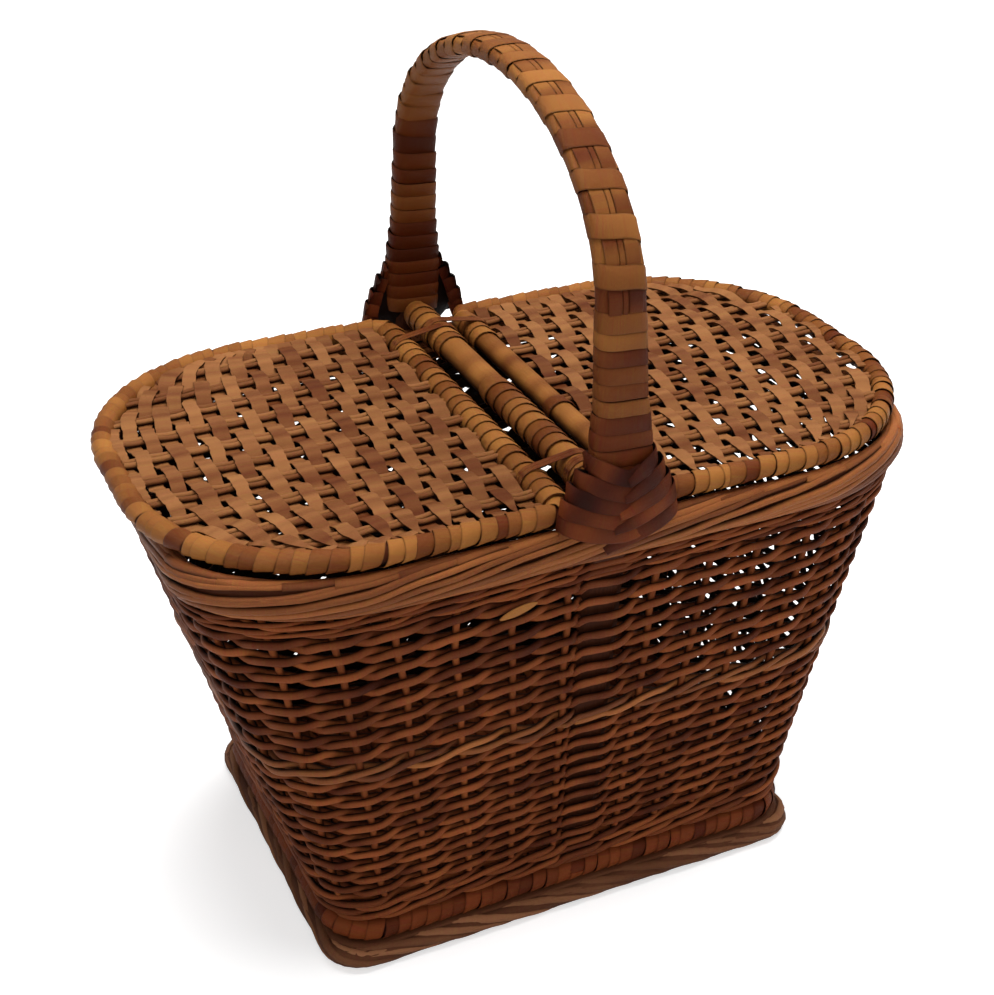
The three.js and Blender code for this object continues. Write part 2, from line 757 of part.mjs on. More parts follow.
// Open weave of a lid: pairs of rods along X and flat skeins along Y, over one and under one
function lidPanel() {
  const inset = 2 * lidBorderRadius + lidBorderSag() + seatGap;
  const halfLength = lidHalfLength - inset;
  const halfWidth = lidHalfWidth - inset;
  const cornerLength = lidCornerLength - inset;
  const cornerWidth = lidCornerWidth - inset;
  const rodReach = (y) => lidInnerReach(y, halfLength, cornerLength, halfWidth, cornerWidth)
    - hingeOffset;
  const skeinReach = (x) => lidInnerReach(x + hingeOffset, halfWidth, cornerWidth, halfLength,
    cornerLength);
  const rodStart = hingeWrapRadius + seatGap;
  const skeinPitch = (halfLength - hingeOffset - rodStart) / (lidSkeinCount + lidLastGapShare);
  const skeinAt = (place) => rodStart + skeinPitch * (place + lidFirstSkeinShare);
  const rodAt = (place) => lidRodPairPitch * (place - (lidRodPairs - 1) / 2);
  const fits = (place, row) => {
    const x = skeinAt(place) + lidSkeinWidth / 2 + lidWeaveThickness;
    const y = Math.abs(rodAt(row)) + lidRodPairWidth / 2 + lidWeaveThickness;
    return place >= 0 && place < lidSkeinCount && row >= 0 && row < lidRodPairs
      && x < rodReach(y) && y < skeinReach(x);
  };
  const position = [];
  const index = [];
  const level = (place, row) => lidPanelLift + ((place + row) % 2 ? lidWeaveDepth : -lidWeaveDepth);
  const bar = (low, high, middle) => {
    const first = position.length / 3;
    [[low[0], low[1]], [high[0], low[1]], [high[0], high[1]], [low[0], high[1]]].forEach(([x, y]) => {
      position.push(x, y, middle - lidWeaveThickness / 2);
      position.push(x, y, middle + lidWeaveThickness / 2);
    });
    return first;
  };
  const quad = (a, b, c, d) => index.push(a, b, c, a, c, d);
  const crossings = new Map();
  for (let place = 0; place < lidSkeinCount; place += 1) {
    for (let row = 0; row < lidRodPairs; row += 1) {
      if (fits(place, row)) {
        const x = skeinAt(place);
        const y = rodAt(row);
        const first = bar(
          [x - lidSkeinWidth / 2, y - lidRodPairWidth / 2],
          [x + lidSkeinWidth / 2, y + lidRodPairWidth / 2],
          level(place, row),
        );
        crossings.set(`${place},${row}`, first);
        quad(first, first + 6, first + 4, first + 2);
        quad(first + 1, first + 3, first + 5, first + 7);
      }
    }
  }
  // Corner numbers of the four edges of a crossing: right, back, left, front
  const edges = [[2, 4], [4, 6], [6, 0], [0, 2]];
  const steps = [[1, 0], [0, 1], [-1, 0], [0, -1]];
  const tube = (from, to) => {
    const [a, b] = from;
    const [c, d] = to;
    quad(a, b, d, c);
    quad(a + 1, c + 1, d + 1, b + 1);
    quad(a, c, c + 1, a + 1);
    quad(b, b + 1, d + 1, d);
  };
  crossings.forEach((first, key) => {
    const [place, row] = key.split(',').map(Number);
    steps.forEach(([dx, dy], way) => {
      const edge = edges[way].map((corner) => first + corner);
      const neighbour = crossings.get(`${place + dx},${row + dy}`);
      if (neighbour !== undefined) {
        if (way < 2) {
          const opposite = edges[way + 2].map((corner) => neighbour + corner);
          tube(edge, [opposite[1], opposite[0]]);
        }
        return;
      }
      const x = skeinAt(place);
      const y = rodAt(row);
      const outerY = Math.abs(y) + lidRodPairWidth / 2;
      const outerX = x + lidSkeinWidth / 2;
      const ends = [rodReach(outerY), skeinReach(outerX), rodStart, -skeinReach(outerX)];
      const end = position.length / 3;
      edges[way].forEach((corner) => {
        const px = way % 2 ? position[3 * (first + corner)] : ends[way];
        const py = way % 2 ? ends[way] : position[3 * (first + corner) + 1];
        position.push(px, py, lidPanelLift - lidWeaveThickness / 2);
        position.push(px, py, lidPanelLift + lidWeaveThickness / 2);
      });
      tube(edge, [end, end + 2]);
      quad(end, end + 2, end + 3, end + 1);
    });
  });
  return skin(position, index);
}

function willow(colour, roughness) {
  return new THREE.MeshStandardMaterial({ color: colour, roughness, metalness: 0 });
}

const wallWillow = willow(0x5b3020, 0.55);
const rimWillow = willow(0x74452a, 0.5);
const footWillow = willow(0x5d3825, 0.55);
const wrapWillow = willow(0x8c5c38, 0.4);
const barWillow = willow(0x81553a, 0.4);
const darkWillow = willow(0x4e2517, 0.5);
const lidWillow = willow(0x8c5d3a, 0.5);
const rodWillow = willow(0x6b3f28, 0.55);

function piece(name, geometry, material) {
  const mesh = new THREE.Mesh(geometry, material);
  mesh.name = name;
  return mesh;
}

const basket = new THREE.Group();
basket.add(
  piece('foot_border', footBorder(), footWillow),
  piece('base_panel', basePanel(), wallWillow),
  piece('base_hoop', baseHoop(), footWillow),
  piece('bottom_wale', waleBand(bottomWaleBottom, bottomWaleHeight), wallWillow),
  piece('lower_wall', weaveBand(lowerWallBottom, lowerWallHeight, lowerWeaveRows), wallWillow),
  piece('middle_wale', waleBand(middleWaleBottom, middleWaleHeight), rimWillow),
  piece('upper_wall', weaveBand(upperWallBottom, upperWallHeight, upperWeaveRows), wallWillow),
  piece('top_wale', waleBand(topWaleBottom, topWaleHeight), rimWillow),
  piece('rim_border', rimBorder(), rimWillow),
  piece('handle_bow', handleBow(), rodWillow),
  piece('handle_wrap', handleWrap(), wrapWillow),
  piece('handle_lap_left', handleLap(-1), darkWillow),
  piece('handle_lap_right', handleLap(1), darkWillow),
  piece('front_handle_fan', handleFan(), darkWillow),
);

const backFan = piece('back_handle_fan', handleFan(), darkWillow);
backFan.rotation.z = Math.PI;
basket.add(backFan);

const bar = new THREE.Group();
bar.position.z = barHeight;
const barTurnDepth = barWrapRadius - barNeckRadius;
bar.add(
  piece('centre_bar', rod(barRodRadius, barHalfLength), rodWillow),
  piece(
    'centre_bar_wrap',
    rodWrap(barRodRadius + seatGap, barWrapRadius, barNeckRadius, barTurnDepth, barTurns,
      barHalfLength),
    barWillow,
  ),
);
basket.add(bar);

[['left', -1], ['right', 1]].forEach(([name, side]) => {
  const lid = new THREE.Group();
  lid.position.set(side * hingeOffset, 0, hingeHeight);
  lid.rotation.z = side < 0 ? Math.PI : 0;
  const hingeTurnDepth = hingeWrapRadius - hingeNeckRadius;
  lid.add(
    piece(`${name}_lid_border`, lidBorder(), wrapWillow),
    piece(`${name}_lid_panel`, lidPanel(), lidWillow),
    piece(`${name}_hinge_rod`, rod(hingeRodRadius, hingeRodHalfLength), rodWillow),
    piece(
      `${name}_hinge_rod_wrap`,
      rodWrap(hingeRodRadius + seatGap, hingeWrapRadius, hingeNeckRadius, hingeTurnDepth,
        hingeRodTurns, hingeRodHalfLength),
      wrapWillow,
    ),
  );
  basket.add(lid);
  [['front', -1], ['back', 1]].forEach(([end, way]) => {
    const loop = piece(`${name}_${end}_hinge_loop`, hingeLoop(), darkWillow);
    loop.position.set(0, way * loopPlace(side), barHeight);
    loop.rotation.z = side < 0 ? Math.PI : 0;
    basket.add(loop);
  });
});

export default basket;
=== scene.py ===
# %% [markdown]
# # A stained willow picnic basket
# The basket is woven: nothing in it is a plain sheet. Thin upright stakes carry pairs of
# twisted weavers, bands of longer rods tie them together, and skeins, which are flat strips
# split from willow, bind the handle, the hinge rods and the edges of the lids.
# Every rod and skein here is a small cross-section carried along a path, and the path is a
# formula. That is quicker to write than placing hundreds of curves by hand, and one change
# of a size moves the whole weave.

# %% Load the frame
import bpy
import numpy as np
from mathutils import Matrix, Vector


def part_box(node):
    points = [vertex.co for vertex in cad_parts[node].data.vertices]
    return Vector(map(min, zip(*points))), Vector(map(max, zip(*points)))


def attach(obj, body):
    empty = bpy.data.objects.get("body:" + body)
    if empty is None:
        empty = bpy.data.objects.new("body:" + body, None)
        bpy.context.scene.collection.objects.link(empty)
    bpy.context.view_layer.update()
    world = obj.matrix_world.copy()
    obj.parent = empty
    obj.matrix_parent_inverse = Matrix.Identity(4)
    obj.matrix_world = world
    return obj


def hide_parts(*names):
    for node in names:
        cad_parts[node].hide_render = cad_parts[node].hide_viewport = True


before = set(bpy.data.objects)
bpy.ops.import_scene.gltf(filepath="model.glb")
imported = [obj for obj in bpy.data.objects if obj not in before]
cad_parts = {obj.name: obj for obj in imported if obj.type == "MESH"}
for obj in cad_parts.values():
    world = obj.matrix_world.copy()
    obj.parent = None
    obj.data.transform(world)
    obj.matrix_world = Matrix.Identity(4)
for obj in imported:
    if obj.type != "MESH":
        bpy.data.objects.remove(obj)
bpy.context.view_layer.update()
MM = 0.001

# %% [markdown]
# ## Camera
# The camera stands in front of the basket, left of its middle, and looks down on the lids.
# Its place, turn and lens were worked out from the outlines of the rim, the foot and the
# handle, so the render falls on the photograph. A camera looks along its own -Z, so the
# matrix is built from three directions: right, up and back.

# %% Camera
CAMERA_PLACE = np.array([-328.22, -695.07, 635.35]) * MM
CAMERA_TURN, CAMERA_TILT, CAMERA_ROLL = 0.43729, -0.52092, 0.00998
FOCAL_PIXELS, PICTURE_WIDTH = 1708.34, 994

ahead = np.array([np.sin(CAMERA_TURN) * np.cos(CAMERA_TILT),
                  np.cos(CAMERA_TURN) * np.cos(CAMERA_TILT), np.sin(CAMERA_TILT)])
level = np.array([np.cos(CAMERA_TURN), -np.sin(CAMERA_TURN), 0.0])
above = np.cross(level, ahead)
right = level * np.cos(CAMERA_ROLL) + above * np.sin(CAMERA_ROLL)
up = above * np.cos(CAMERA_ROLL) - level * np.sin(CAMERA_ROLL)


def placed(right, up, back, place):
    """The matrix that turns an object's X, Y and Z to three directions and moves it."""
    matrix = np.eye(4)
    matrix[:3] = np.stack([right, up, back, place], axis=1)
    return Matrix(matrix.tolist())


camera_data = bpy.data.cameras.new("camera")
camera_data.sensor_width = 36
camera_data.lens = FOCAL_PIXELS * camera_data.sensor_width / PICTURE_WIDTH
camera = bpy.data.objects.new("camera", camera_data)
camera.matrix_world = placed(right, up, -ahead, CAMERA_PLACE)
bpy.context.collection.objects.link(camera)
bpy.context.scene.camera = camera
print("lens in mm:", round(camera_data.lens, 2))

# %% [markdown]
# ## A strand
# A rod or a skein is one closed cross-section carried along a path. At each step the section
# needs two directions: outwards, which the surface under the strand gives, and sideways,
# which is square to both the path and outwards. All strands of a piece are computed as one
# array with the axes strand, step, corner of the section, and x-y-z.

# %% Sections carried along paths
RIGHT, FRONT, UP = [1.0, 0.0, 0.0], [0.0, -1.0, 0.0], [0.0, 0.0, 1.0]


def xyz(x, y, z):
    """Points or directions from their coordinates, each an array or one number."""
    return np.stack(np.broadcast_arrays(x, y, z), axis=-1)


def unit(vectors):
    """Each vector divided by its own length."""
    return vectors / np.maximum(np.linalg.norm(vectors, axis=-1, keepdims=True), 1e-12)


def way_gone(x, y):
    """The length of a line of points up to each of them."""
    return np.concatenate([[0], np.hypot(np.diff(x), np.diff(y)).cumsum()])


def signed_power(value, power):
    """|value|^power with the sign of the value."""
    return np.sign(value) * np.abs(value) ** power


def along(path, ring):
    """Direction of travel at each step: the step after it minus the step before it."""
    if ring:
        return unit(np.roll(path, -1, axis=1) - np.roll(path, 1, axis=1))
    return unit(np.gradient(path, axis=1))


def sweep(path, outward, half_width, half_thickness, sides, squareness, ring):
    """Section points: centre + sideways * half_width * cos(a) + outwards * half_thickness *
    sin(a). A power of cosine and sine below 1, named squareness, turns the ellipse towards a
    rectangle. The angle starts at the hidden inner side, so the pattern's seam lies there."""
    heading = along(path, ring)
    side = unit(np.cross(outward, heading))
    out = np.cross(heading, side)
    angle = 2 * np.pi * np.arange(sides) / sides - np.pi / 2
    across = signed_power(np.cos(angle), squareness)[:, None]
    proud = signed_power(np.sin(angle), squareness)[:, None]
    half_width = np.broadcast_to(half_width, path.shape[:2])[..., None, None]
    half_thickness = np.broadcast_to(half_thickness, path.shape[:2])[..., None, None]
    return (path[:, :, None] + side[:, :, None] * half_width * across
            + out[:, :, None] * half_thickness * proud)


# %% [markdown]
# ## From arrays to a mesh
# Neighbouring sections are joined by quads, and an open strand gets one face at each end, so
# every strand is a closed body. Two more things are stored for the material: a UV map, with
# the length along the strand in hundredths of a millimetre and the place round its section
# from 0 to 1, and a value named tone, which tells one strand from the next, because no two
# rods take stain alike. A tone below 0 also paints a strand towards the shade colour: painted
# shade, used on the hidden cores.

# %% Mesh from sections
UV_PER_MM = 100


def strand_mesh(points, tone, ring):
    """Quads from section i, corner k to section i + 1, corner k + 1, for every strand at once."""
    count, steps, sides = points.shape[:3]
    spans = steps if ring else steps - 1
    base = np.arange(count)[:, None, None] * steps * sides
    step = np.arange(spans)[None, :, None]
    corner = np.arange(sides)[None, None, :]
    here, there = base + step * sides, base + ((step + 1) % steps) * sides
    after = (corner + 1) % sides
    quads = np.stack([here + corner, here + after, there + after, there + corner], axis=-1)

    length = np.linalg.norm(np.diff(points.mean(axis=2), axis=1), axis=-1).cumsum(axis=1)
    length = np.concatenate([np.zeros((count, 1)), length], axis=1)
    length = np.concatenate([length, length[:, -1:] + length[:, 1:2]], axis=1) * UV_PER_MM
    shape = quads.shape[:3]
    start = np.broadcast_to(length[:, :spans, None], shape)
    end = np.broadcast_to(length[:, 1:spans + 1, None], shape)
    low = np.broadcast_to(corner / sides, shape)
    high = low + 1 / sides
    uv = np.stack([
        np.stack([start, low], axis=-1), np.stack([start, high], axis=-1),
        np.stack([end, high], axis=-1), np.stack([end, low], axis=-1),
    ], axis=-2).reshape(-1, 2)
    loops, totals = quads.reshape(-1), np.full(quads[..., 0].size, 4)
    if not ring:
        first = base[:, :, 0] + np.arange(sides)[None, ::-1]
        last = base[:, :, 0] + (steps - 1) * sides + np.arange(sides)[None, :]
        caps = np.concatenate([first, last])
        loops = np.concatenate([loops, caps.reshape(-1)])
        totals = np.concatenate([totals, np.full(len(caps), sides)])
        uv = np.concatenate([uv, np.full((caps.size, 2), 0.5)])

    mesh = bpy.data.meshes.new("strand")
    mesh.vertices.add(points.size // 3)
    mesh.vertices.foreach_set("co", (points * MM).astype(np.float32).reshape(-1))
    mesh.loops.add(len(loops))
    mesh.loops.foreach_set("vertex_index", loops.astype(np.int32))
    mesh.polygons.add(len(totals))
    mesh.polygons.foreach_set("loop_start", (np.cumsum(totals) - totals).astype(np.int32))
    mesh.update(calc_edges=True)
    mesh.uv_layers.new(name="UVMap").data.foreach_set("uv", uv.astype(np.float32).reshape(-1))
    tones = np.broadcast_to(np.asarray(tone)[..., None], (count, steps, sides))
    layer = mesh.attributes.new("tone", "FLOAT", "POINT")
    layer.data.foreach_set("value", tones.astype(np.float32).reshape(-1))
    mesh.polygons.foreach_set("use_smooth", np.ones(len(totals), dtype=bool))
    mesh.validate()
    return mesh


def strands(path, outward, half_width, half_thickness, tone, sides=8, squareness=1.0,
            ring=False):
    """The mesh of the sections carried along each path. Sizes and tone are one number, or one
    for each strand, each step or both."""
    points = sweep(path, outward, half_width, half_thickness, sides, squareness, ring)
    return strand_mesh(points, tone, ring)


def turned(meshes, half_round):
    """The meshes as they are, or turned half round the middle for a piece of the other side."""
    if half_round:
        for mesh in meshes:
            mesh.transform(Matrix.Rotation(np.pi, 4, "Z"))
    return meshes


def piece(name, meshes, material, body, nodes=(), crease=None):
    """A finished piece: its meshes become objects for a moment and are joined, and the result
    gets its material, its body and the place of its nodes."""
    parts = [bpy.data.objects.new(name, mesh) for mesh in meshes]
    for part in parts:
        bpy.context.collection.objects.link(part)
    if len(parts) > 1:
        with bpy.context.temp_override(active_object=parts[0], selected_editable_objects=parts):
            bpy.ops.object.join()
    made = parts[0]
    made.name = made.data.name = name
    made.data.materials.clear()
    made.data.materials.append(material)
    if crease:
        made.data.set_sharp_from_angle(angle=np.radians(crease))
    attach(made, body)
    if nodes:
        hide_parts(*nodes)
    triangles = sum(len(polygon.vertices) - 2 for polygon in made.data.polygons)
    print(name, "triangles:", triangles)


# %% [markdown]
# ## The irregular hand
# Willow is never quite even: rods thicken and thin, rows rise and dip, and stain takes more
# or less. Two helpers give that. One draws numbers from a seeded generator, so each run is
# the same. The other adds a few sine waves of unlike length with random starts, which
# wanders smoothly and, with whole wave counts, closes on itself round the basket. A third
# helper is the soft step between two states.

# %% Seeded variation
def jitter(seed, *shape):
    """Random numbers between -1 and 1."""
    return np.random.default_rng(seed).uniform(-1, 1, shape)


def wander(share, seed, counts=(5, 9, 14, 23, 37), rows=1):
    """Sum of sines of 2 pi * count * share + phase. Each row has its own phases, and one row of
    shares may serve for many."""
    share = np.atleast_2d(share)
    rows = max(rows, len(share))
    phases = np.random.default_rng(seed).uniform(0, 2 * np.pi, (len(counts), rows, 1))
    waves = [np.sin(2 * np.pi * count * share + phase) for count, phase in zip(counts, phases)]
    return sum(waves) / np.sqrt(len(counts))


def ramp(value):
    """0 below 0, 1 above 1, and 3 v^2 - 2 v^3 between."""
    value = np.clip(value, 0, 1)
    return value * value * (3 - 2 * value)


# %% [markdown]
# ## Stained willow
# All of the basket is willow, and what differs is how it was split, stained and worn. The
# material has four layers: the stain, which each rod takes a little differently; the
# fibres, a fine grain on the rod; blotches, where the stain pooled over several rods; and
# painted shade, a dark colour towards each strand's sides and hidden back and on strands of
# negative tone, in place of the shade between and behind the rods. The grain follows the UV
# map, which counts hundredths of a millimetre, so along a rod it is finer than a pixel and
# evens out instead of showing as streaks. Worn varnish shines only a little.

# %% Willow material
def linear(code):
    """sRGB hex to the linear colour that the shader takes."""
    parts = np.array([int(code[i:i + 2], 16) for i in (0, 2, 4)]) / 255
    low, high = parts / 12.92, ((parts + 0.055) / 1.055) ** 2.4
    return [float(value) for value in np.where(parts <= 0.04045, low, high)] + [1.0]


def add(tree, kind, settings=None, **links):
    """Adds one node. Settings are its own values; links are values of its input sockets, or the
    node or socket that feeds them. Sockets go by name, or by number as i0, i1 and so on."""
    node = tree.nodes.new("ShaderNode" + kind)
    for key, value in (settings or {}).items():
        setattr(node, key, value)
    for key, value in links.items():
        socket = node.inputs[int(key[1:]) if key[1:].isdigit() else key.replace("_", " ")]
        if isinstance(value, bpy.types.Node):
            value = value.outputs[0]
        if isinstance(value, bpy.types.NodeSocket):
            tree.links.new(value, socket)
        else:
            socket.default_value = value
    return node


def empty_tree(owner):
    """The node tree of a material or a world, emptied."""
    owner.use_nodes = True
    owner.node_tree.nodes.clear()
    return owner.node_tree


# Lengths of the grain, in hundredths of a millimetre along the rod
FIBRE_LENGTH, HUE_LENGTH, FLECK_LENGTH = 1.6, 4.5, 0.5
# How many times each changes in one way round the section
FIBRES_ROUND, HUES_ROUND, FLECKS_ROUND = 26, 1.0, 5.0
HUE_RANGE, FLECK_RANGE, FLECK_DARKNESS = (0.474, 0.52), (0.63, 0.74), 0.6
BLOTCH_MM = 55
FIBRE_WEIGHT, TONE_WEIGHT, BLOTCH_WEIGHT = 1.1, 0.75, 0.5
STAIN_RANGE = (0.65, 1.7)
FIBRE_BUMP_MM = 0.35


def willow(name, deep, pale, fleck_and_shade_colour, rough=0.5, shine=0.1, flat=False, edge=0.34):
    """Stained willow between a deep and a pale colour, with painted shade in a third colour,
    which the dark flecks of the grain share. Round a strand's section 0.5 is the outer middle
    and 0 the hidden side: the painted shade starts 0.1 from the middle, or 0.15 on a flat
    skein, and is full at the distance named edge. A tone below 0 also paints a strand towards
    the shade colour, fully at -0.6."""
    material = bpy.data.materials.new(name)
    tree = empty_tree(material)
    smooth = {"interpolation_type": "SMOOTHSTEP"}
    split = add(tree, "SeparateXYZ", i0=add(tree, "UVMap", {"uv_map": "UVMap"}))
    tone = add(tree, "Attribute", {"attribute_name": "tone"}).outputs["Fac"]
    shift = add(tree, "Math", {"operation": "MULTIPLY"}, i0=tone, i1=90.0)

    def grain(length, rounds, detail):
        """Noise over the strand's UV map, other for every tone."""
        long = add(tree, "Math", {"operation": "DIVIDE"}, i0=split, i1=length)
        across = add(tree, "Math", {"operation": "MULTIPLY"}, i0=split.outputs[1], i1=rounds)
        spot = add(tree, "CombineXYZ", i0=long, i1=across, i2=shift)
        return add(tree, "TexNoise", Vector=spot, Scale=1.0, Detail=detail,
                   Roughness=0.6).outputs["Fac"]

    fibre = grain(FIBRE_LENGTH, FIBRES_ROUND, 3.0)
    solid = add(tree, "TexCoord").outputs["Object"]
    blotch = add(tree, "TexNoise", Vector=solid, Scale=1 / (BLOTCH_MM * MM), Detail=3.0)

    stain = add(tree, "Math", {"operation": "MULTIPLY"}, i0=fibre, i1=FIBRE_WEIGHT)
    stain = add(tree, "Math", {"operation": "MULTIPLY_ADD"}, i0=tone, i1=TONE_WEIGHT, i2=stain)
    stain = add(tree, "Math", {"operation": "MULTIPLY_ADD"}, i0=blotch.outputs["Fac"],
                i1=BLOTCH_WEIGHT, i2=stain)
    stain = add(tree, "MapRange", smooth, i0=stain, i1=STAIN_RANGE[0], i2=STAIN_RANGE[1])
    colour = add(tree, "Mix", {"data_type": "RGBA"}, i0=stain, i6=linear(deep), i7=linear(pale))

    turned_hue = add(tree, "MapRange", i0=grain(HUE_LENGTH, HUES_ROUND, 1.0), i1=0.3, i2=0.7,
                     i3=HUE_RANGE[0], i4=HUE_RANGE[1])
    colour = add(tree, "HueSaturation", Hue=turned_hue, Color=colour.outputs[2])

    fleck = add(tree, "MapRange", smooth, i0=grain(FLECK_LENGTH, FLECKS_ROUND, 2.0),
                i1=FLECK_RANGE[0], i2=FLECK_RANGE[1], i4=FLECK_DARKNESS)
    # Painted shade: towards a strand's sides and its hidden back, away from the outer middle of
    # its section, the colour turns to the shade colour
    height = add(tree, "Math", {"operation": "SUBTRACT"}, i0=split.outputs[1], i1=0.5)
    height = add(tree, "Math", {"operation": "ABSOLUTE"}, i0=height)
    painted_side_shade = add(tree, "MapRange", smooth, i0=height, i1=0.15 if flat else 0.1, i2=edge)
    # Painted shade: a strand whose tone is below 0, such as a hidden core, turns towards the
    # shade colour, fully at -0.6
    hidden = add(tree, "MapRange", i0=tone, i1=0.0, i2=-0.6)
    dark = add(tree, "Math", {"operation": "MAXIMUM"}, i0=fleck, i1=painted_side_shade)
    dark = add(tree, "Math", {"operation": "MAXIMUM"}, i0=dark, i1=hidden)
    # The real dark flecks of the grain and the painted shade both mix in the third colour
    colour = add(tree, "Mix", {"data_type": "RGBA"}, i0=dark, i6=colour, i7=linear(fleck_and_shade_colour))

    bump = add(tree, "Bump", Strength=0.7, Distance=FIBRE_BUMP_MM * MM, Height=fibre)
    gloss = add(tree, "MapRange", i0=fibre, i1=0.3, i2=0.7, i3=rough + 0.12, i4=rough - 0.08)
    shader = add(tree, "BsdfPrincipled", Base_Color=colour.outputs[2], Roughness=gloss,
                 Normal=bump, Specular_IOR_Level=shine)
    add(tree, "OutputMaterial", Surface=shader)
    return material


# The third colour of each finish is that of the dark flecks and of the painted shade between and
# behind the strands
# Reddish brown rods of the sides, stained and left matt
wall_willow = willow("stained_willow_rod", "4c2210", "96532a", "140602", rough=0.52, shine=0.07)
# Browner, slightly polished rods of the wales and the rim
rim_willow = willow("stained_willow_border_rod", "582a12", "ac6935", "160802", rough=0.4,
                    shine=0.14, edge=0.3)
# Worn rods of the foot
foot_willow = willow("stained_willow_foot_rod", "55301b", "a5714c", "1c0c06", rough=0.5,
                     shine=0.1, edge=0.37)
# Golden, glossy skein of the handle and the bindings
wrap_willow = willow("varnished_willow_skein", "5a2508", "a86f33", "220e05", rough=0.4,
                     shine=0.11, flat=True)
# Skein and rods of the lids
lid_willow = willow("varnished_lid_skein", "5d2f13", "9a683b", "241006", rough=0.44,
                    shine=0.1, flat=True)
# Dark red-brown skein of the ties and of the base hoop
dark_willow = willow("dark_stained_skein", "3d1507", "86431c", "130502", rough=0.42,
                     shine=0.08, flat=True)
finishes = (wall_willow, rim_willow, foot_willow, wrap_willow, lid_willow, dark_willow)
print("willow finishes:", ", ".join(finish.name for finish in finishes))

# %% [markdown]
# ## The plan of the basket
# Seen from above, the foot, the body, the rim and the lids are rectangles with rounded
# corners. One function makes such an outline and spreads any number of places evenly along
# it. The body is narrower below than above, and its stakes run straight from one outline to
# the other, so a point on the side is a mix of the two.

# %% Outlines
NEAR_SHARE = 0.002


def outline(half_length, half_width, corner_length, corner_width):
    """Rectangle with elliptical corners from the middle of the front, anticlockwise. Returns a
    function: share of the way round -> point and outward direction, both in plan."""
    quarter = np.linspace(0, np.pi / 2, 60)
    mid_x, mid_y = half_length - corner_length, half_width - corner_width
    far, near = corner_length * np.sin(quarter), corner_length * np.cos(quarter)
    low, high = corner_width * np.cos(quarter), corner_width * np.sin(quarter)
    x = np.concatenate([[0], mid_x + far, mid_x + near, -mid_x - far, -mid_x - near, [0]])
    y = np.concatenate([[-half_width], -mid_y - low, mid_y + high, mid_y + low, -mid_y - high,
                        [-half_width]])
    gone = way_gone(x, y)

    def spot(share):
        way = share % 1 * gone[-1]
        return np.stack([np.interp(way, gone, x), np.interp(way, gone, y)], axis=-1)

    def at(share):
        share = np.asarray(share) % 1
        ahead = unit(spot(share + NEAR_SHARE) - spot(share - NEAR_SHARE))
        return spot(share), np.stack([ahead[..., 1], -ahead[..., 0]], axis=-1)

    at.length = gone[-1]
    return at


def in_space(plan, height):
    """Plan points or directions x, y, with a height as their third coordinate."""
    return xyz(plan[..., 0], plan[..., 1], height)


def box_mm(node):
    """Lowest and highest corner of a CAD node, in mm."""
    return [np.array(corner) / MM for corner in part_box(node)]


def levels(node):
    """Heights in mm of a CAD node's lowest and highest face."""
    low, high = box_mm(node)
    return low[2], high[2]


def ring_plan(node, inset, corner):
    """Outline of a ring's CAD node, moved inwards."""
    half = box_mm(node)[1]
    return outline(half[0] - inset, half[1] - inset, *corner)


WALL_INSET = 4.5
BODY_LOW, BODY_HIGH = levels("bottom_wale")[0], levels("rim_border")[0]
LOW_HALF, LOW_CORNER = (134, 97), (30, 30)
HIGH_HALF, HIGH_CORNER = (190, 116), (88, 58)
low_plan = outline(*(size - WALL_INSET for size in LOW_HALF + LOW_CORNER))
high_plan = outline(*(size - WALL_INSET for size in HIGH_HALF + HIGH_CORNER))


def side_point(share, height, out=0.0):
    """Point in the middle of the wall, moved outwards: the mix of the low and the high outline,
    plus out times the direction square to the way round and to the way up."""
    share, height, out = np.broadcast_arrays(share, height, out)
    low, high = low_plan(share)[0], high_plan(share)[0]
    rise = ((height - BODY_LOW) / (BODY_HIGH - BODY_LOW))[..., None]
    plan = low + (high - low) * rise
    low_way, high_way = (plan_at(share + NEAR_SHARE)[0] - plan_at(share - NEAR_SHARE)[0]
                         for plan_at in (low_plan, high_plan))
    round_way = in_space(low_way * (1 - rise) + high_way * rise, 0)
    up_way = in_space((high - low) / (BODY_HIGH - BODY_LOW), 1)
    outward = unit(np.cross(round_way, up_way))
    return in_space(plan, height) + outward * out[..., None], outward


print("body from", round(BODY_LOW, 1), "to", round(BODY_HIGH, 1), "mm, round the top",
      round(high_plan.length), "mm")

# %% [markdown]
# ## Stakes and the places where weavers cross them
# Thirty-six thin stakes and the two flat legs of the handle stand round the basket. A weaver
# passes in front of one and behind the next, so it is easiest to measure the way round in
# stakes: a phase that grows by half a turn from each stake to the next. A leg is as wide as
# several rods, so the phase stands still across it.

# %% Stake places and phase
STAKES_PER_HALF = 18
LEG_HALF_SHARE = 0.008
AFTER_LEG_SHARE, BEFORE_LEG_SHARE = 0.027, 0.0165
HALF_ROUND_STAKES = STAKES_PER_HALF + 1

stake_shares = np.linspace(AFTER_LEG_SHARE, 0.5 - BEFORE_LEG_SHARE, STAKES_PER_HALF)
half_knots = np.concatenate([[-LEG_HALF_SHARE, LEG_HALF_SHARE], stake_shares])
knots = np.concatenate([half_knots, half_knots + 0.5, [1 - LEG_HALF_SHARE]])
half_phases = np.concatenate([[0, 0], np.arange(1, STAKES_PER_HALF + 1)])
knot_phases = np.concatenate([half_phases, half_phases + HALF_ROUND_STAKES,
                              [2 * HALF_ROUND_STAKES]]) * np.pi


def round_steps(per_gap):
    """Shares that give every gap between stakes the same number of steps, and their phases."""
    gaps = len(knots) - 1
    place = np.arange(gaps * per_gap) / per_gap
    return (np.interp(place, np.arange(gaps + 1), knots),
            np.interp(place, np.arange(gaps + 1), knot_phases))


print("places round the side:", 2 * HALF_ROUND_STAKES)

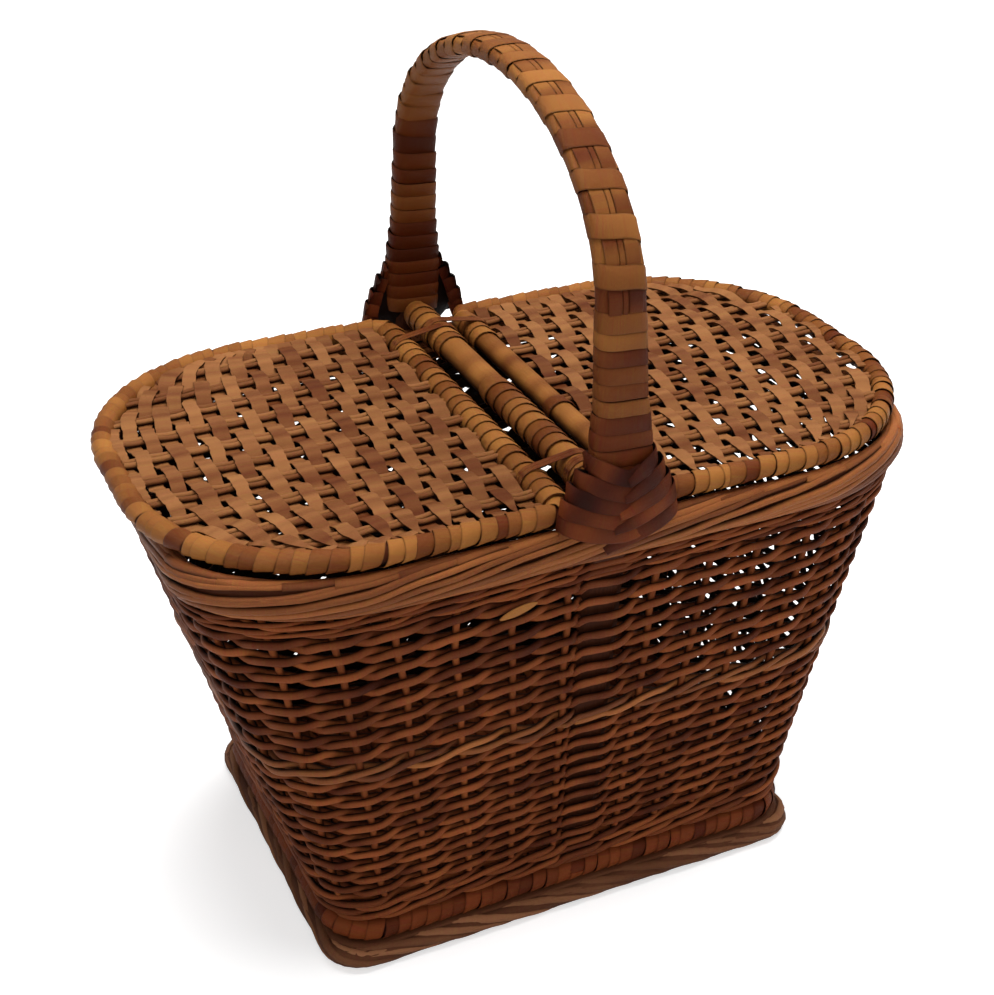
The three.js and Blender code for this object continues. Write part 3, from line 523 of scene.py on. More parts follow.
# %% [markdown]
# ## Twined sides
# Two weavers go round together. At each stake one passes outside and the other inside, and
# between stakes they change places with half a twist, always the same way. So a weaver's
# depth is a cosine of the phase and its height a sine of it: outside it climbs to the right,
# inside it climbs back. Where they cross, the rows touch, and in front of a stake they leave
# a hole above and below. The cosine is bent a little, because a rod hugs a stake and then
# turns sharply. The sine is raised to a power, so the rods pass a stake nearly level and
# change places in a short steep twist. Outside a rod lies a little higher than inside, so
# seen from above the inner one is hidden and the holes stay dark.
# Across a flat leg the strands lie like rungs that fall to the right.

# %% Twined bands
WEAVER_HALF_THICKNESS = 1.45
WEAVER_DEPTH = 2.9
HUG_SHARE = 0.16
TWIST_POWER = 1.9
OUTSIDE_RISE, BEATEN_RISE = 1.5, 1.1
RUNG_FALL = 0.8
BEATEN_MIDDLE, LOOSE_MIDDLE, LOOSE_SPAN = 0.53, 0.17, 0.1


def beaten(share):
    """Where the rows are beaten down close: 1 at the back, 0 at the front."""
    return ramp(np.cos(2 * np.pi * (share - BEATEN_MIDDLE)) * 2)


def closeness(share):
    """Thickness of the rods, against their usual one: more at the back, where the rows are
    close, and a trace less round the right end."""
    loose = np.exp(-((share % 1 - LOOSE_MIDDLE) / LOOSE_SPAN) ** 2)
    return 0.88 + 0.42 * beaten(share) - 0.02 * loose


def twined_band(node, pairs, half_height, seed):
    """With the phase t: depth = D cos t, height = row + A sin t |sin t|^p + B cos t, less the
    fall of the rungs across a leg; the partner is half a turn behind. B is less where the
    rows are beaten close."""
    share, phase = round_steps(9)
    bottom, top = levels(node)
    rows = 2 * pairs
    pitch = (top - bottom) / pairs
    level = bottom + pitch * (np.arange(rows) // 2 + 0.5)
    partner = (np.arange(rows) % 2)[:, None] * np.pi
    turn = phase[None] + partner
    turn = turn - HUG_SHARE * np.sin(2 * turn)
    share = np.broadcast_to(share, turn.shape)
    pair_drift = np.repeat(wander(share[::2], seed), 2, axis=0) * 0.35
    climb = pitch / 4 * (1 + 0.14 * wander(share, seed + 1))
    swing = np.sin(turn) * np.abs(np.sin(turn)) ** TWIST_POWER
    across = ((share + 0.25) % 0.5 - 0.25) / LEG_HALF_SHARE
    fall = RUNG_FALL * across * np.exp(-(across / 1.25) ** 4) * np.maximum(np.cos(turn), 0)
    outside = OUTSIDE_RISE + (BEATEN_RISE - OUTSIDE_RISE) * beaten(share)
    height = level[:, None] + climb * swing + pair_drift - fall + outside * np.cos(turn)
    depth = WEAVER_DEPTH * np.cos(turn) * (1 + 0.06 * wander(share, seed + 2))
    half_height = half_height * (1 + 0.1 * wander(share, seed + 3, (7, 23, 41, 83, 127)))
    half_height = half_height * closeness(share)
    tone = 0.5 + 0.3 * wander(share, seed + 4, (1, 5, 11, 19, 31))
    tone = tone + 0.2 * jitter(seed + 5, rows, 1)
    return strands(*side_point(share, height, depth), half_height, WEAVER_HALF_THICKNESS, tone,
                   squareness=0.75, ring=True)


for name, pairs, half_height, seed in (("lower", 9, 2.25, 11), ("upper", 8, 2.45, 31)):
    piece(name + "_twined_weave", [twined_band(name + "_wall", pairs, half_height, seed)],
          wall_willow, "basket", [name + "_wall"])

# %% [markdown]
# The stakes are plain round rods that lean out with the side. Each is a short path from the
# base hoop up into the rim.

# %% Stakes
STAKE_RADIUS = 1.85
STAKE_SWAY_SHARE = 0.0009


def stakes():
    """Straight up the side at each stake's share, with a slight sway of the hand."""
    rise = np.linspace(0, 1, 30)[None]
    shares = np.concatenate([stake_shares, stake_shares + 0.5])[:, None]
    sway = STAKE_SWAY_SHARE * wander(rise / 9, 5, rows=len(shares))
    height = BODY_LOW - 2 + (BODY_HIGH + 6 - BODY_LOW) * rise
    return strands(*side_point(shares + sway, height), STAKE_RADIUS, STAKE_RADIUS,
                   0.6 + 0.3 * jitter(6, len(shares), 1))


piece("side_stakes", [stakes()], wall_willow, "basket", ["lower_wall", "upper_wall"])

# %% [markdown]
# High on the front, one rod has split, and a pale end of it lies on the face of the weave.

# %% Split rod end
FLAT_SECTION = 0.6
SPLIT_START, SPLIT_LENGTH = -55, 18
SPLIT_HEIGHT, SPLIT_RISE = 204, 6


def split_end():
    """A flat sliver on the wall: share = x / length of the way round, width = w sin(pi t)^0.6."""
    go = np.linspace(0, 1, 16)[None]
    height = SPLIT_HEIGHT + SPLIT_RISE * go
    rise = (height - BODY_LOW) / (BODY_HIGH - BODY_LOW)
    length = low_plan.length + (high_plan.length - low_plan.length) * rise
    share = (SPLIT_START + SPLIT_LENGTH * go) / length
    width = 0.3 + 2.3 * np.sin(np.pi * go) ** 0.6
    return strands(*side_point(share, height, 5.0 + 1.2 * go), width, 0.4, 0.9,
                   squareness=FLAT_SECTION)


piece("split_rod_end", [split_end()], wrap_willow, "basket", crease=50)

# %% [markdown]
# ## Wales
# A wale is a row of three rods twisted together, each in front of two stakes and behind one.
# It is stiffer than the twined rows, so a basket maker puts one at the bottom, one at the
# middle and one under the rim. One strand that goes round three times is the same as three
# strands, and it closes on itself, so the formula needs only one path for a row.

# %% Wales
WALE_DEPTH = 2.9


def wale(node, rows, half_height, sway, seed):
    """Depth = D tanh(2 cos(phase) + 0.7), height = row + A sin(phase), phase a third of a turn
    to a stake, over three rounds."""
    bottom, top = levels(node)
    share, phase = round_steps(7)
    share = np.concatenate([share, share + 1, share + 2])[None]
    phase = np.concatenate([phase + 2 * HALF_ROUND_STAKES * np.pi * lap for lap in range(3)])
    pitch = (top - bottom) / rows
    level = bottom + pitch * (np.arange(rows) + 0.5)[:, None]
    share = np.broadcast_to(share, (rows, share.shape[1]))
    turn = phase[None] * 2 / 3 + jitter(seed, rows, 1) * np.pi
    drift = wander(share % 1, seed + 1) * sway
    height = level + (pitch / 2 - half_height + 0.25) * np.sin(turn) + drift
    depth = WALE_DEPTH * np.tanh(2 * np.cos(turn) + 0.7)
    thick = half_height * (1 + 0.12 * wander(share / 3, seed + 2)) * closeness(share)
    tone = 0.5 + 0.3 * wander(share / 3, seed + 3, (2, 5, 11, 19))
    return strands(*side_point(share, height, depth), thick, thick * 0.85, tone, ring=True)


for node, rows, half_height, sway, seed, finish in (
        ("bottom_wale", 2, 2.1, 0.3, 41, wall_willow),
        ("middle_wale", 1, 2.15, 1.0, 45, rim_willow),
        ("top_wale", 2, 1.5, 0.3, 49, wall_willow)):
    piece(node + "_rods", [wale(node, rows, half_height, sway, seed)], finish, "basket", [node])

# %% [markdown]
# ## Borders
# At the rim and at the foot the rods are bent over and laid along the edge, each over the
# next few, and tucked in. At any place several rods lie side by side round the edge's
# section, and each creeps round it as it goes along. So a rod's path is the outline, moved
# by an ellipse whose angle turns from the rod's start to its end.

# %% Laid borders
def laid_border(plan, centre, reach, angles, gaps, radius, rods, seed, taper=0.8):
    """Rod j starts at share j / rods and goes on for some gaps between rods, while its angle
    round the section turns from angles[0] to angles[1], where 0 is outwards and 90 is up; the
    section is an ellipse of reach (out, up)."""
    steps = 26
    go = np.linspace(0, 1, steps)[None]
    start = (np.arange(rods)[:, None] + 0.18 * jitter(seed, rods, 1)) / rods
    share = start + go * gaps / rods * (1 + 0.07 * jitter(seed + 1, rods, 1))
    angle = np.radians(angles[0] + (angles[1] - angles[0]) * go)
    angle = angle + 0.07 * wander(go / 6 + start, seed + 2)
    point, normal = plan(share)
    path = in_space(point + normal * (reach[0] * np.cos(angle))[..., None],
                    centre + reach[1] * np.sin(angle))
    outward = in_space(normal * (np.cos(angle) / reach[0])[..., None], np.sin(angle) / reach[1])
    thick = radius * (1 + 0.14 * jitter(seed + 3, rods, 1)) * (1 - (1 - taper) * go ** 3)
    return strands(path, unit(outward), thick, thick * 0.9,
                   0.5 + 0.32 * jitter(seed + 4, rods, 1))


def core_ring(plan, centre, half_up, half_out, tone=-0.3):
    """The mass of hidden rods inside a border: an ellipse carried round the outline. A tone
    below 0, as by default, paints it partly in the shade colour: painted shade in the gaps
    between the rods or turns around it.
    """
    point, normal = plan((np.arange(180) / 180)[None])
    return strands(in_space(point, centre), in_space(normal, 0), half_up, half_out, tone, 10,
                   0.8, ring=True)


BORDER_INSET = 6
RIM_LOW, RIM_TOP = levels("rim_border")
RIM_ROD, RIM_RODS, RIM_CORNER = 2.15, 42, (86, 56)
RIM_MIDDLE = (RIM_LOW + RIM_TOP) / 2
RIM_REACH = (BORDER_INSET - RIM_ROD, (RIM_TOP - RIM_LOW) / 2 - RIM_ROD)
rim_plan = ring_plan("rim_border", BORDER_INSET, RIM_CORNER)
piece("rim_border_rods", [
    laid_border(rim_plan, RIM_MIDDLE, RIM_REACH, (-125, 82), 7.8, RIM_ROD, RIM_RODS, 51),
    laid_border(rim_plan, RIM_MIDDLE, RIM_REACH, (65, 230), 6.8, RIM_ROD, RIM_RODS, 56),
    # Tone -0.2 paints the core partly in the shade colour: painted shade in the gaps between the
    # rim's rods
    core_ring(rim_plan, RIM_MIDDLE, 8.0, 2.8, -0.2),
], rim_willow, "basket", ["rim_border"])

# %% [markdown]
# The foot is the same kind of border. A flat shelf of hidden rods joins it to the hoop, so
# no light comes up between them.

# %% Foot border
FOOT_TOP = levels("foot_border")[1]
FOOT_ROD, FOOT_RODS = 2.4, 38
FOOT_REACH = (BORDER_INSET - FOOT_ROD, FOOT_TOP / 2 - FOOT_ROD)
SHELF_INSET = 12
foot_plan = ring_plan("foot_border", BORDER_INSET, (16, 16))
shelf_plan = ring_plan("foot_border", SHELF_INSET, (14, 14))
piece("foot_border_rods", [
    laid_border(foot_plan, FOOT_TOP / 2, FOOT_REACH, (165, -95), 4.0, FOOT_ROD, FOOT_RODS, 61,
                taper=0.95),
    laid_border(foot_plan, FOOT_TOP / 2, FOOT_REACH, (265, 150), 2.6, FOOT_ROD, FOOT_RODS, 66,
                taper=0.95),
    core_ring(foot_plan, FOOT_TOP / 2, FOOT_TOP / 2 - 1, 5, 0.0),
    core_ring(shelf_plan, FOOT_TOP - 1, 1.6, 7.5, 0.0),
], foot_willow, "basket", ["foot_border"])

# %% [markdown]
# ## Bindings
# A skein wound round a rod is a helix of a flat strip. Each turn lies a little over the one
# before, so the strip is tilted: one edge stands out, the other is tucked under, and a dark
# seam shows between turns. The path is the rod's line, plus an ellipse in the plane square
# to it, whose angle makes one full turn to each pitch.

# %% Wound skein
def spread(value, share):
    """A size that may change along the way: its values stand at even places from 0 to 1."""
    value = np.atleast_1d(value)
    return np.interp(share, np.linspace(0, 1, value.size), value)


def wound(line, side, reach, turns, half_width, thickness, seed, tilt=0.09, per_turn=18,
          slip=0.12, power=1.0, sunk=(), deep=0.4, sunk_shade=0.9, shades=(0.1, 0.9), lean=0.0):
    """line and side are functions of the share along the rod: its point, and the direction
    across it. Place = line + side * reach[0] cos(a) + up * reach[1] sin(a), a = 2 pi turns; a
    power below 1 squares the section. The turns numbered in sunk lie deeper, and their tone is
    lowered as painted shade in their recess. half_width, the reaches and lean, which is added
    to the tone, may change along the rod."""
    steps = int(turns * per_turn)
    share = np.linspace(0, 1, steps)
    turn = share * turns
    marks = np.arange(int(turns) + 2)
    uneven = np.interp(turn, marks, jitter(seed, marks.size) * slip)
    spot = np.clip((turn + uneven) / turns, 0, 1)
    centre, across = line(spot), side(spot)
    forward = unit(line(np.clip(spot + 1e-3, 0, 1)) - line(np.clip(spot - 1e-3, 0, 1)))
    lift = unit(np.cross(across, forward))
    angle = 2 * np.pi * turn
    low = np.isin(marks, sunk) * 1.0
    drop = np.interp(turn - 0.25, marks, low) * deep
    reach_side, reach_up = spread(reach[0], spot) - drop * 0.3, spread(reach[1], spot) - drop
    cosine, sine = np.cos(angle), np.sin(angle)
    path = (centre + across * (reach_side * signed_power(cosine, power))[:, None]
            + lift * (reach_up * signed_power(sine, power))[:, None])
    outward = unit(across * (signed_power(cosine, 2 - power) / reach_side)[:, None]
                   + lift * (signed_power(sine, 2 - power) / reach_up)[:, None])
    outward = unit(outward + tilt * forward)
    width = 1 + 0.12 * np.interp(turn, marks, jitter(seed + 1, marks.size))
    width = spread(half_width, spot) * width
    # Sunk turns get a lower tone: painted shade in their recess
    own = np.random.default_rng(seed + 2).uniform(*shades, marks.size) - sunk_shade * low
    tone = np.interp(turn, marks, own) + spread(lean, spot)
    return strands(path[None], outward[None], width, thickness / 2, tone,
                   squareness=FLAT_SECTION)


def core_rod(line, radius, tone):
    """The rod inside a binding: a round section carried along the same line."""
    return strands(line(np.linspace(0, 1, 160))[None], UP, radius, radius, tone, 14)


# %% [markdown]
# The base hoop is a rod round the bottom edge of the body, wound with skein. Its line is the
# outline itself, and the direction across it points out of the basket.

# %% Base hoop
HOOP_LOW, HOOP_TOP = levels("base_hoop")
HOOP_MIDDLE, HOOP_RADIUS = (HOOP_LOW + HOOP_TOP) / 2, (HOOP_TOP - HOOP_LOW) / 2
HOOP_INSET = 5.5
HOOP_TURNS = 114
hoop_plan = ring_plan("base_hoop", HOOP_INSET, (25, 25))


def hoop_line(share):
    """The outline at the hoop's middle height."""
    return in_space(hoop_plan(share)[0], HOOP_MIDDLE)


def hoop_side(share):
    """The outline's outward direction."""
    return in_space(hoop_plan(share)[1], 0)


piece("base_hoop_binding", [
    wound(hoop_line, hoop_side, (HOOP_INSET - 0.7, HOOP_RADIUS - 0.7), HOOP_TURNS, 4.2, 1.0, 71,
          slip=0.14, power=0.9, sunk=range(0, HOOP_TURNS, 5), deep=0.6, sunk_shade=0.35,
          shades=(0.5, 0.75)),
    # The default tone -0.3 paints this core partly in the shade colour: painted shade in the gaps
    # between the turns
    core_ring(hoop_plan, HOOP_MIDDLE, HOOP_RADIUS - 1.4, HOOP_INSET - 1.4),
], dark_willow, "basket", ["base_hoop"], crease=50)

# %% [markdown]
# ## Base
# The base shows when the lids stand open. Stout sticks run the length of it, and thinner
# weavers go over one and under the next across it, inside the hoop.

# %% Base panel
PANEL_STICKS, PANEL_WEAVERS = 9, 58
PANEL_CORNER = 20
panel_half = box_mm("base_panel")[1]
PANEL_LEVEL = sum(levels("base_panel")) / 2
STICK_PITCH = 2 * panel_half[1] / PANEL_STICKS
WEAVER_PITCH = 2 * panel_half[0] / PANEL_WEAVERS


def panel_reach(offset, half, cross_half):
    """How far something reaches at an offset from the middle, inside a round corner."""
    into = np.clip((np.abs(offset) - (cross_half - PANEL_CORNER)) / PANEL_CORNER, 0, 1)
    return half - PANEL_CORNER + PANEL_CORNER * np.sqrt(1 - into ** 2)


def base_weave():
    """Sticks along x; weavers along y, with height = level + a cos(pi y / stick pitch) and the
    sign by weaver."""
    half_x, half_y = panel_half[:2]
    row = (np.arange(PANEL_STICKS) - (PANEL_STICKS - 1) / 2)[:, None] * STICK_PITCH
    x = np.linspace(-1, 1, 12) * (panel_reach(row, half_x, half_y) - 1)
    sticks = strands(xyz(x, row, PANEL_LEVEL), UP, 2.4, 1.4,
                     0.4 + 0.3 * jitter(81, PANEL_STICKS, 1))
    order = np.arange(PANEL_WEAVERS)[:, None]
    place = (order - (PANEL_WEAVERS - 1) / 2) * WEAVER_PITCH
    y = np.linspace(-1, 1, PANEL_STICKS * 5) * (panel_reach(place, half_y, half_x) - 0.5)
    wave = 1.7 * np.cos(np.pi * y / STICK_PITCH) * np.where(order % 2, 1, -1)
    weavers = strands(xyz(place, y, PANEL_LEVEL + wave), UP, 3.0, 1.3,
                      0.5 + 0.4 * jitter(82, PANEL_WEAVERS, 1), 6, 0.8)
    return [sticks, weavers]


piece("woven_base", base_weave(), wall_willow, "basket", ["base_panel"])

# %% [markdown]
# ## Handle
# Two flat legs go down inside the walls, and above the lids the bow is bound with skein. The
# handle leans in a little and closes with half an ellipse. Its line is measured out once as
# a dense run of points, and any share along it is read from that run.

# %% Handle line
LID_TOP = levels("left_lid_border")[1]
HANDLE_TOP = 425.0
SPRING_HEIGHT = 343.5
SPAN_AT_LIDS, SPAN_AT_SPRING = 122.7, 114.3
LEG_TURNS, ARCH_TURNS = 11.5, 31.0
HANDLE_TURNS = 2 * LEG_TURNS + ARCH_TURNS
LEG_RUN = 88.0


def handle_run():
    """Straight up and inwards, half an ellipse over the top, and down the same way."""
    lean = np.linspace(LID_TOP, SPRING_HEIGHT, 40)
    span = np.interp(lean, [LID_TOP, SPRING_HEIGHT], [SPAN_AT_LIDS, SPAN_AT_SPRING])
    arc = np.linspace(np.pi, 0, 120)[1:-1]
    y = np.concatenate([-span, SPAN_AT_SPRING * np.cos(arc), span[::-1]])
    crown = SPRING_HEIGHT + (HANDLE_TOP - SPRING_HEIGHT) * np.sin(arc)
    z = np.concatenate([lean, crown, lean[::-1]])
    return y, z, way_gone(y, z)


handle_y, handle_z, handle_gone = handle_run()


def handle_line(share):
    """The share counts turns of the binding, which are narrower on the legs than on the arch."""
    way = np.interp(share * HANDLE_TURNS,
                    [0, LEG_TURNS, LEG_TURNS + ARCH_TURNS, HANDLE_TURNS],
                    [0, LEG_RUN, handle_gone[-1] - LEG_RUN, handle_gone[-1]])
    return xyz(0.0, np.interp(way, handle_gone, handle_y), np.interp(way, handle_gone, handle_z))


def handle_side(share):
    """Along X everywhere, because the bow stands in the plane x = 0."""
    return np.broadcast_to(RIGHT, (*np.shape(share), 3))


print("round the bow:", round(handle_gone[-1]), "mm")

# %% [markdown]
# The binding's section is nearly a rectangle. It narrows from the ties to the top and grows
# paler. Along the arch every second turn is sunk, which makes the windows of the next step.

# %% Handle binding
HANDLE_SQUARE = 0.62
HANDLE_HALF_THICK = 5.3
WINDOW_DEPTH = 1.5
WINDOW_TURNS = np.arange(round(LEG_TURNS), round(LEG_TURNS + ARCH_TURNS) + 1, 2)
handle_levels = handle_line(np.linspace(0, 1, 121))[:, 2]
handle_halves = np.interp(handle_levels, [255, 272, 288, 306, HANDLE_TOP],
                          [14.9, 15.0, 14.6, 12.2, 9.9])
handle_widths = np.interp(handle_levels, [LID_TOP, 335, 345], [4.1, 4.1, 5.3])
handle_gold = np.interp(handle_levels, [LID_TOP, 300, 345, 410, HANDLE_TOP],
                        [-0.5, -0.42, -0.3, 0.0, 0.1])
piece("handle_binding", [wound(
    handle_line, handle_side, (handle_halves, HANDLE_HALF_THICK), HANDLE_TURNS, handle_widths,
    1.0, 91, tilt=0.05, per_turn=24, slip=0.06, power=HANDLE_SQUARE, sunk=WINDOW_TURNS,
    deep=WINDOW_DEPTH, sunk_shade=0.1, lean=handle_gold)],
    wrap_willow, "basket", ["handle_wrap"], crease=50)

# %% [markdown]
# Three strips run lengthwise on the outer side of the bow. The binding passes over them at
# one turn and under them at the next, so at every second turn a window shows the strips,
# with the sunk turn on both sides of them. A strip at a distance x from the middle lies
# where the binding's own section has that x.

# %% Lengthwise strips
STRIPS = {"left": [(-5.0, 3.2)], "right": [(-0.3, 1.3), (4.9, 3.6)]}


def lap_strip(x, half, seed):
    """Height over the bow's line = section height at x - 1 at a whole turn, - 0.3 in a window."""
    turn = np.linspace(LEG_TURNS - 0.3, LEG_TURNS + ARCH_TURNS + 0.3, 500)
    share = turn / HANDLE_TURNS
    centre = handle_line(share)
    forward = unit(handle_line(share + 1e-3) - handle_line(share - 1e-3))
    side = handle_side(share)
    lift = unit(np.cross(side, forward))
    reach = spread(handle_halves, share)
    cosine = np.clip(np.abs(x) / reach, 0, 0.99) ** (1 / HANDLE_SQUARE)
    sine = np.sqrt(1 - cosine ** 2)
    window = np.cos(np.pi * (turn - 0.25 - WINDOW_TURNS[0]))
    height = HANDLE_HALF_THICK * sine ** HANDLE_SQUARE - 0.65 + 0.45 * np.tanh(2 * window)
    outward = unit(lift * (sine ** (2 - HANDLE_SQUARE) / HANDLE_HALF_THICK)[:, None]
                   + side * (np.sign(x) * cosine ** (2 - HANDLE_SQUARE) / reach)[:, None])
    path = centre + lift * height[:, None] + side * x
    tone = 0.4 + spread(handle_gold, share) + 0.25 * wander(share, seed, (9, 17, 31))
    return strands(path[None], outward[None], half, 0.45, tone, squareness=FLAT_SECTION)


for name, strips in STRIPS.items():
    piece("handle_strips_" + name, [lap_strip(x, half, 95 + place)
                                    for place, (x, half) in enumerate(strips)],
          wrap_willow, "basket", ["handle_lap_" + name], crease=50)

# %% [markdown]
# ## Ties at the foot of the handle
# Where the handle meets the rim, skein is bound over the front of the leg in five rings,
# each wider than the one above, like a stack of bowls. A ring is two bands: one comes round
# from the left and goes on under the other, which comes from the right and ends in the
# middle. The lower edge of each band stands out over the next one and throws a thin shadow.
# At the sides the bands turn in behind, and the last one ends in a tip under the rim.

# %% Ties
RING_HALVES = [17.0, 21.5, 25.3, 28.2, 29.4]
RING_MIDDLES = [271.5, 264.5, 257.5, 250.5, 243.5]
TIE_RINGS = len(RING_HALVES)
TIE_BACK = 118.8
BAND_HALF = 4.2
BAND_START = np.radians(132)


def tie_bands(seed):
    """With the angle a round the leg: x = w sin(a), y = -(back + d max(cos(a), 0)^0.7), z =
    middle + rise |sin(a)|^1.25, and a dip at the end of the band. w, d and middle differ by
    ring."""
    bands = 2 * TIE_RINGS
    ring = np.tile(np.arange(TIE_RINGS), 2)[:, None]
    from_left = np.repeat([True, False], TIE_RINGS)[:, None]
    side = np.where(from_left, -1, 1)
    go = np.linspace(0, 1, 48)[None]
    end = np.radians(np.where(from_left, -22, -2 - 4 * ring))
    angle = BAND_START + (end - BAND_START) * go
    half = np.take(RING_HALVES, ring)
    rise = np.where(from_left, 8.0, 6.5) * np.abs(np.sin(angle)) ** 1.25
    dip = np.clip(1 - angle / np.radians(30), 0, 2) ** 2 * np.where(from_left, 0.2, 2.2)
    dip = dip * np.where((ring == TIE_RINGS - 1) & ~from_left, 1.7, 1)
    height = np.take(RING_MIDDLES, ring) + rise - dip + 0.5 * jitter(seed, bands, 1)
    face = np.interp(height, [236, 247, 285], [126.5, 130.2, 129.2])
    depth = face + np.where(from_left, 0, 0.6) - TIE_BACK
    path = xyz(side * half * np.sin(angle),
               -TIE_BACK - depth * np.maximum(np.cos(angle), 0) ** 0.7, height)
    outward = xyz(side * np.sin(angle) / half, -np.cos(angle) / depth, 0)
    outward = unit(unit(outward) + 0.17 * np.array(UP))
    width = BAND_HALF * (1 + 0.08 * wander(go, seed + 1, (1, 2), bands))
    width = width * np.where(from_left, 1, 1 - 0.45 * ramp(go * 4 - 3))
    tone = 0.22 + 0.25 * jitter(seed + 2, bands, 1) + 0.3 * wander(go, seed + 3, (1, 2), bands)
    return strands(path, outward, width, 0.5, tone, squareness=FLAT_SECTION)


def tie_core():
    """The mass of hidden turns: a flat upright section, widest at a third of its height. Its
    tone of -0.6 paints it fully in the shade colour: painted shade in the gaps between the
    bands.
    """
    rise = np.linspace(0, 1, 14)[None]
    spine = xyz(0.0, -124.0, 242 + 30 * rise)
    half_width = np.interp(rise, [0, 0.3, 0.7, 1], [17, 26, 22, 17])
    half_thickness = np.interp(rise, [0, 0.4, 1], [2.0, 4.9, 4.6])
    return strands(spine, FRONT, half_width, half_thickness, -0.6, 20, 0.9)


for name, seed in (("front", 101), ("back", 104)):
    piece(name + "_handle_tie", turned([tie_bands(seed), tie_core()], name == "back"),
          dark_willow, "basket", [name + "_handle_fan"], crease=50)

# %% [markdown]
# ## Bar and hinge rods
# A bar crosses the middle, and a rod lies on each side of it, inside the edge of a lid. All
# three are bound with skein, but not evenly: the bar and the right rod have long stretches
# where a wide skein lies lengthwise and smooth. Narrow skein loops tie the lids' rods to the
# bar, and the lids turn in them.

# %% Bar and hinge rods
TURN_PITCH = 8.4
HINGE_ROD_REACH = 102


def box_middle(node):
    """Middle and half size of a CAD node, in mm."""
    low, high = box_mm(node)
    return (low + high) / 2, (high - low) / 2


def straight(at, reach, start=0.0, end=1.0):
    """Along y from -reach to reach, or only from share start to share end of that way."""
    def line(share):
        return xyz(at[0], at[1] + ((start + share * (end - start)) * 2 - 1) * reach, at[2])
    return line


def bound_rod(node, reach, body, stretches, seed):
    """Smooth skein along the whole rod, and wound skein over some stretches of it."""
    at, half = box_middle(node)
    radius = half[0]
    tone = 0.55 + 0.25 * wander(np.linspace(0, 1, 160) / 3, seed)
    meshes = [core_rod(straight(at, reach), radius - 0.9, tone)]
    for place, (start, end) in enumerate(stretches):
        turns = round((end - start) * 2 * reach / TURN_PITCH)
        meshes.append(wound(straight(at, reach, start, end), handle_side,
                            (radius - 0.5, radius - 0.5), turns, 4.7, 0.9, seed + 3 * place,
                            tilt=0.12, slip=0.24, shades=(0.0, 1.0)))
    piece(node + "_skein", meshes, wrap_willow, body, [node], crease=50)


bar_at, bar_half = box_middle("centre_bar_wrap")
# The stretches are shares of the rod's length, from the front to the back
bound_rod("centre_bar_wrap", bar_half[1], "basket", [(0, 0.56), (0.78, 1)], 111)
bound_rod("left_hinge_rod_wrap", HINGE_ROD_REACH, "left_lid", [(0, 1)], 131)
bound_rod("right_hinge_rod_wrap", HINGE_ROD_REACH, "right_lid",
          [(0, 0.14), (0.4, 0.44), (0.85, 1)], 151)

# %% [markdown]
# A hinge loop is a belt round two rods: an arc on the far side of each, and two straight
# runs that touch both. The belt's path is made from the two arcs, and the straight runs
# follow when the arcs are joined.

# %% Hinge loops
LOOP_STRIPS = (-1.3, 1.3)
BAR_LOOP_RADIUS, ROD_LOOP_RADIUS = 8.5, 7.3


def hinge_loop(node, side):
    """Arcs of radius r1 round the bar and r2 round the hinge rod, joined into one ring; two
    strips lie side by side."""
    middle = box_middle(node)[0]
    rod_at = box_middle(("right" if side > 0 else "left") + "_hinge_rod_wrap")[0]
    apart_x, apart_z = side * (rod_at[0] - bar_at[0]), rod_at[2] - bar_at[2]
    gap, heading = np.hypot(apart_x, apart_z), np.arctan2(apart_z, apart_x)
    touch = np.arccos((BAR_LOOP_RADIUS - ROD_LOOP_RADIUS) / gap)
    rod_arc = np.linspace(-touch, touch, 14) + heading
    bar_arc = np.linspace(touch, 2 * np.pi - touch, 18) + heading
    angle = np.concatenate([rod_arc, bar_arc])
    on_rod = np.arange(angle.size) < rod_arc.size
    radius = np.where(on_rod, ROD_LOOP_RADIUS, BAR_LOOP_RADIUS)
    x = on_rod * apart_x + radius * np.cos(angle)
    z = on_rod * apart_z + radius * np.sin(angle)
    y = middle[1] + np.array(LOOP_STRIPS)[:, None]
    path = xyz(side * x, y, bar_at[2] + z)
    outward = xyz(side * np.cos(angle), 0, np.sin(angle))
    tone = 0.15 + 0.2 * wander(np.linspace(0, 1, angle.size), 161)
    return strands(path, outward, 1.35, 0.45, tone, squareness=0.7, ring=True)


for name, side in (("left", -1), ("right", 1)):
    for end in ("front", "back"):
        node = f"{name}_{end}_hinge_loop"
        piece(node + "_skein", [hinge_loop(node, side)], wrap_willow, "basket", [node], crease=50)

# %% [markdown]
# ## Lids
# A lid is a hoop bound with wide skein, and an open weave inside it: pairs of thin rods run
# from the hinge to the far end, and flat skeins cross them, over one pair and under the
# next. Both lids come from the same functions, written for the right lid; the left one is
# the same turned half round, with other random numbers.

# %% Lid sizes
HINGE_X = box_mm("right_lid_border")[0][0]
HINGE_Z = sum(levels("right_lid_border")) / 2
HOOP, LID_TURNS = 5.5, 68
LID_LENGTH, LID_HALF = 201.3, 115.8
LID_CORNER = (98, 96)
NEAR_CORNER = 9


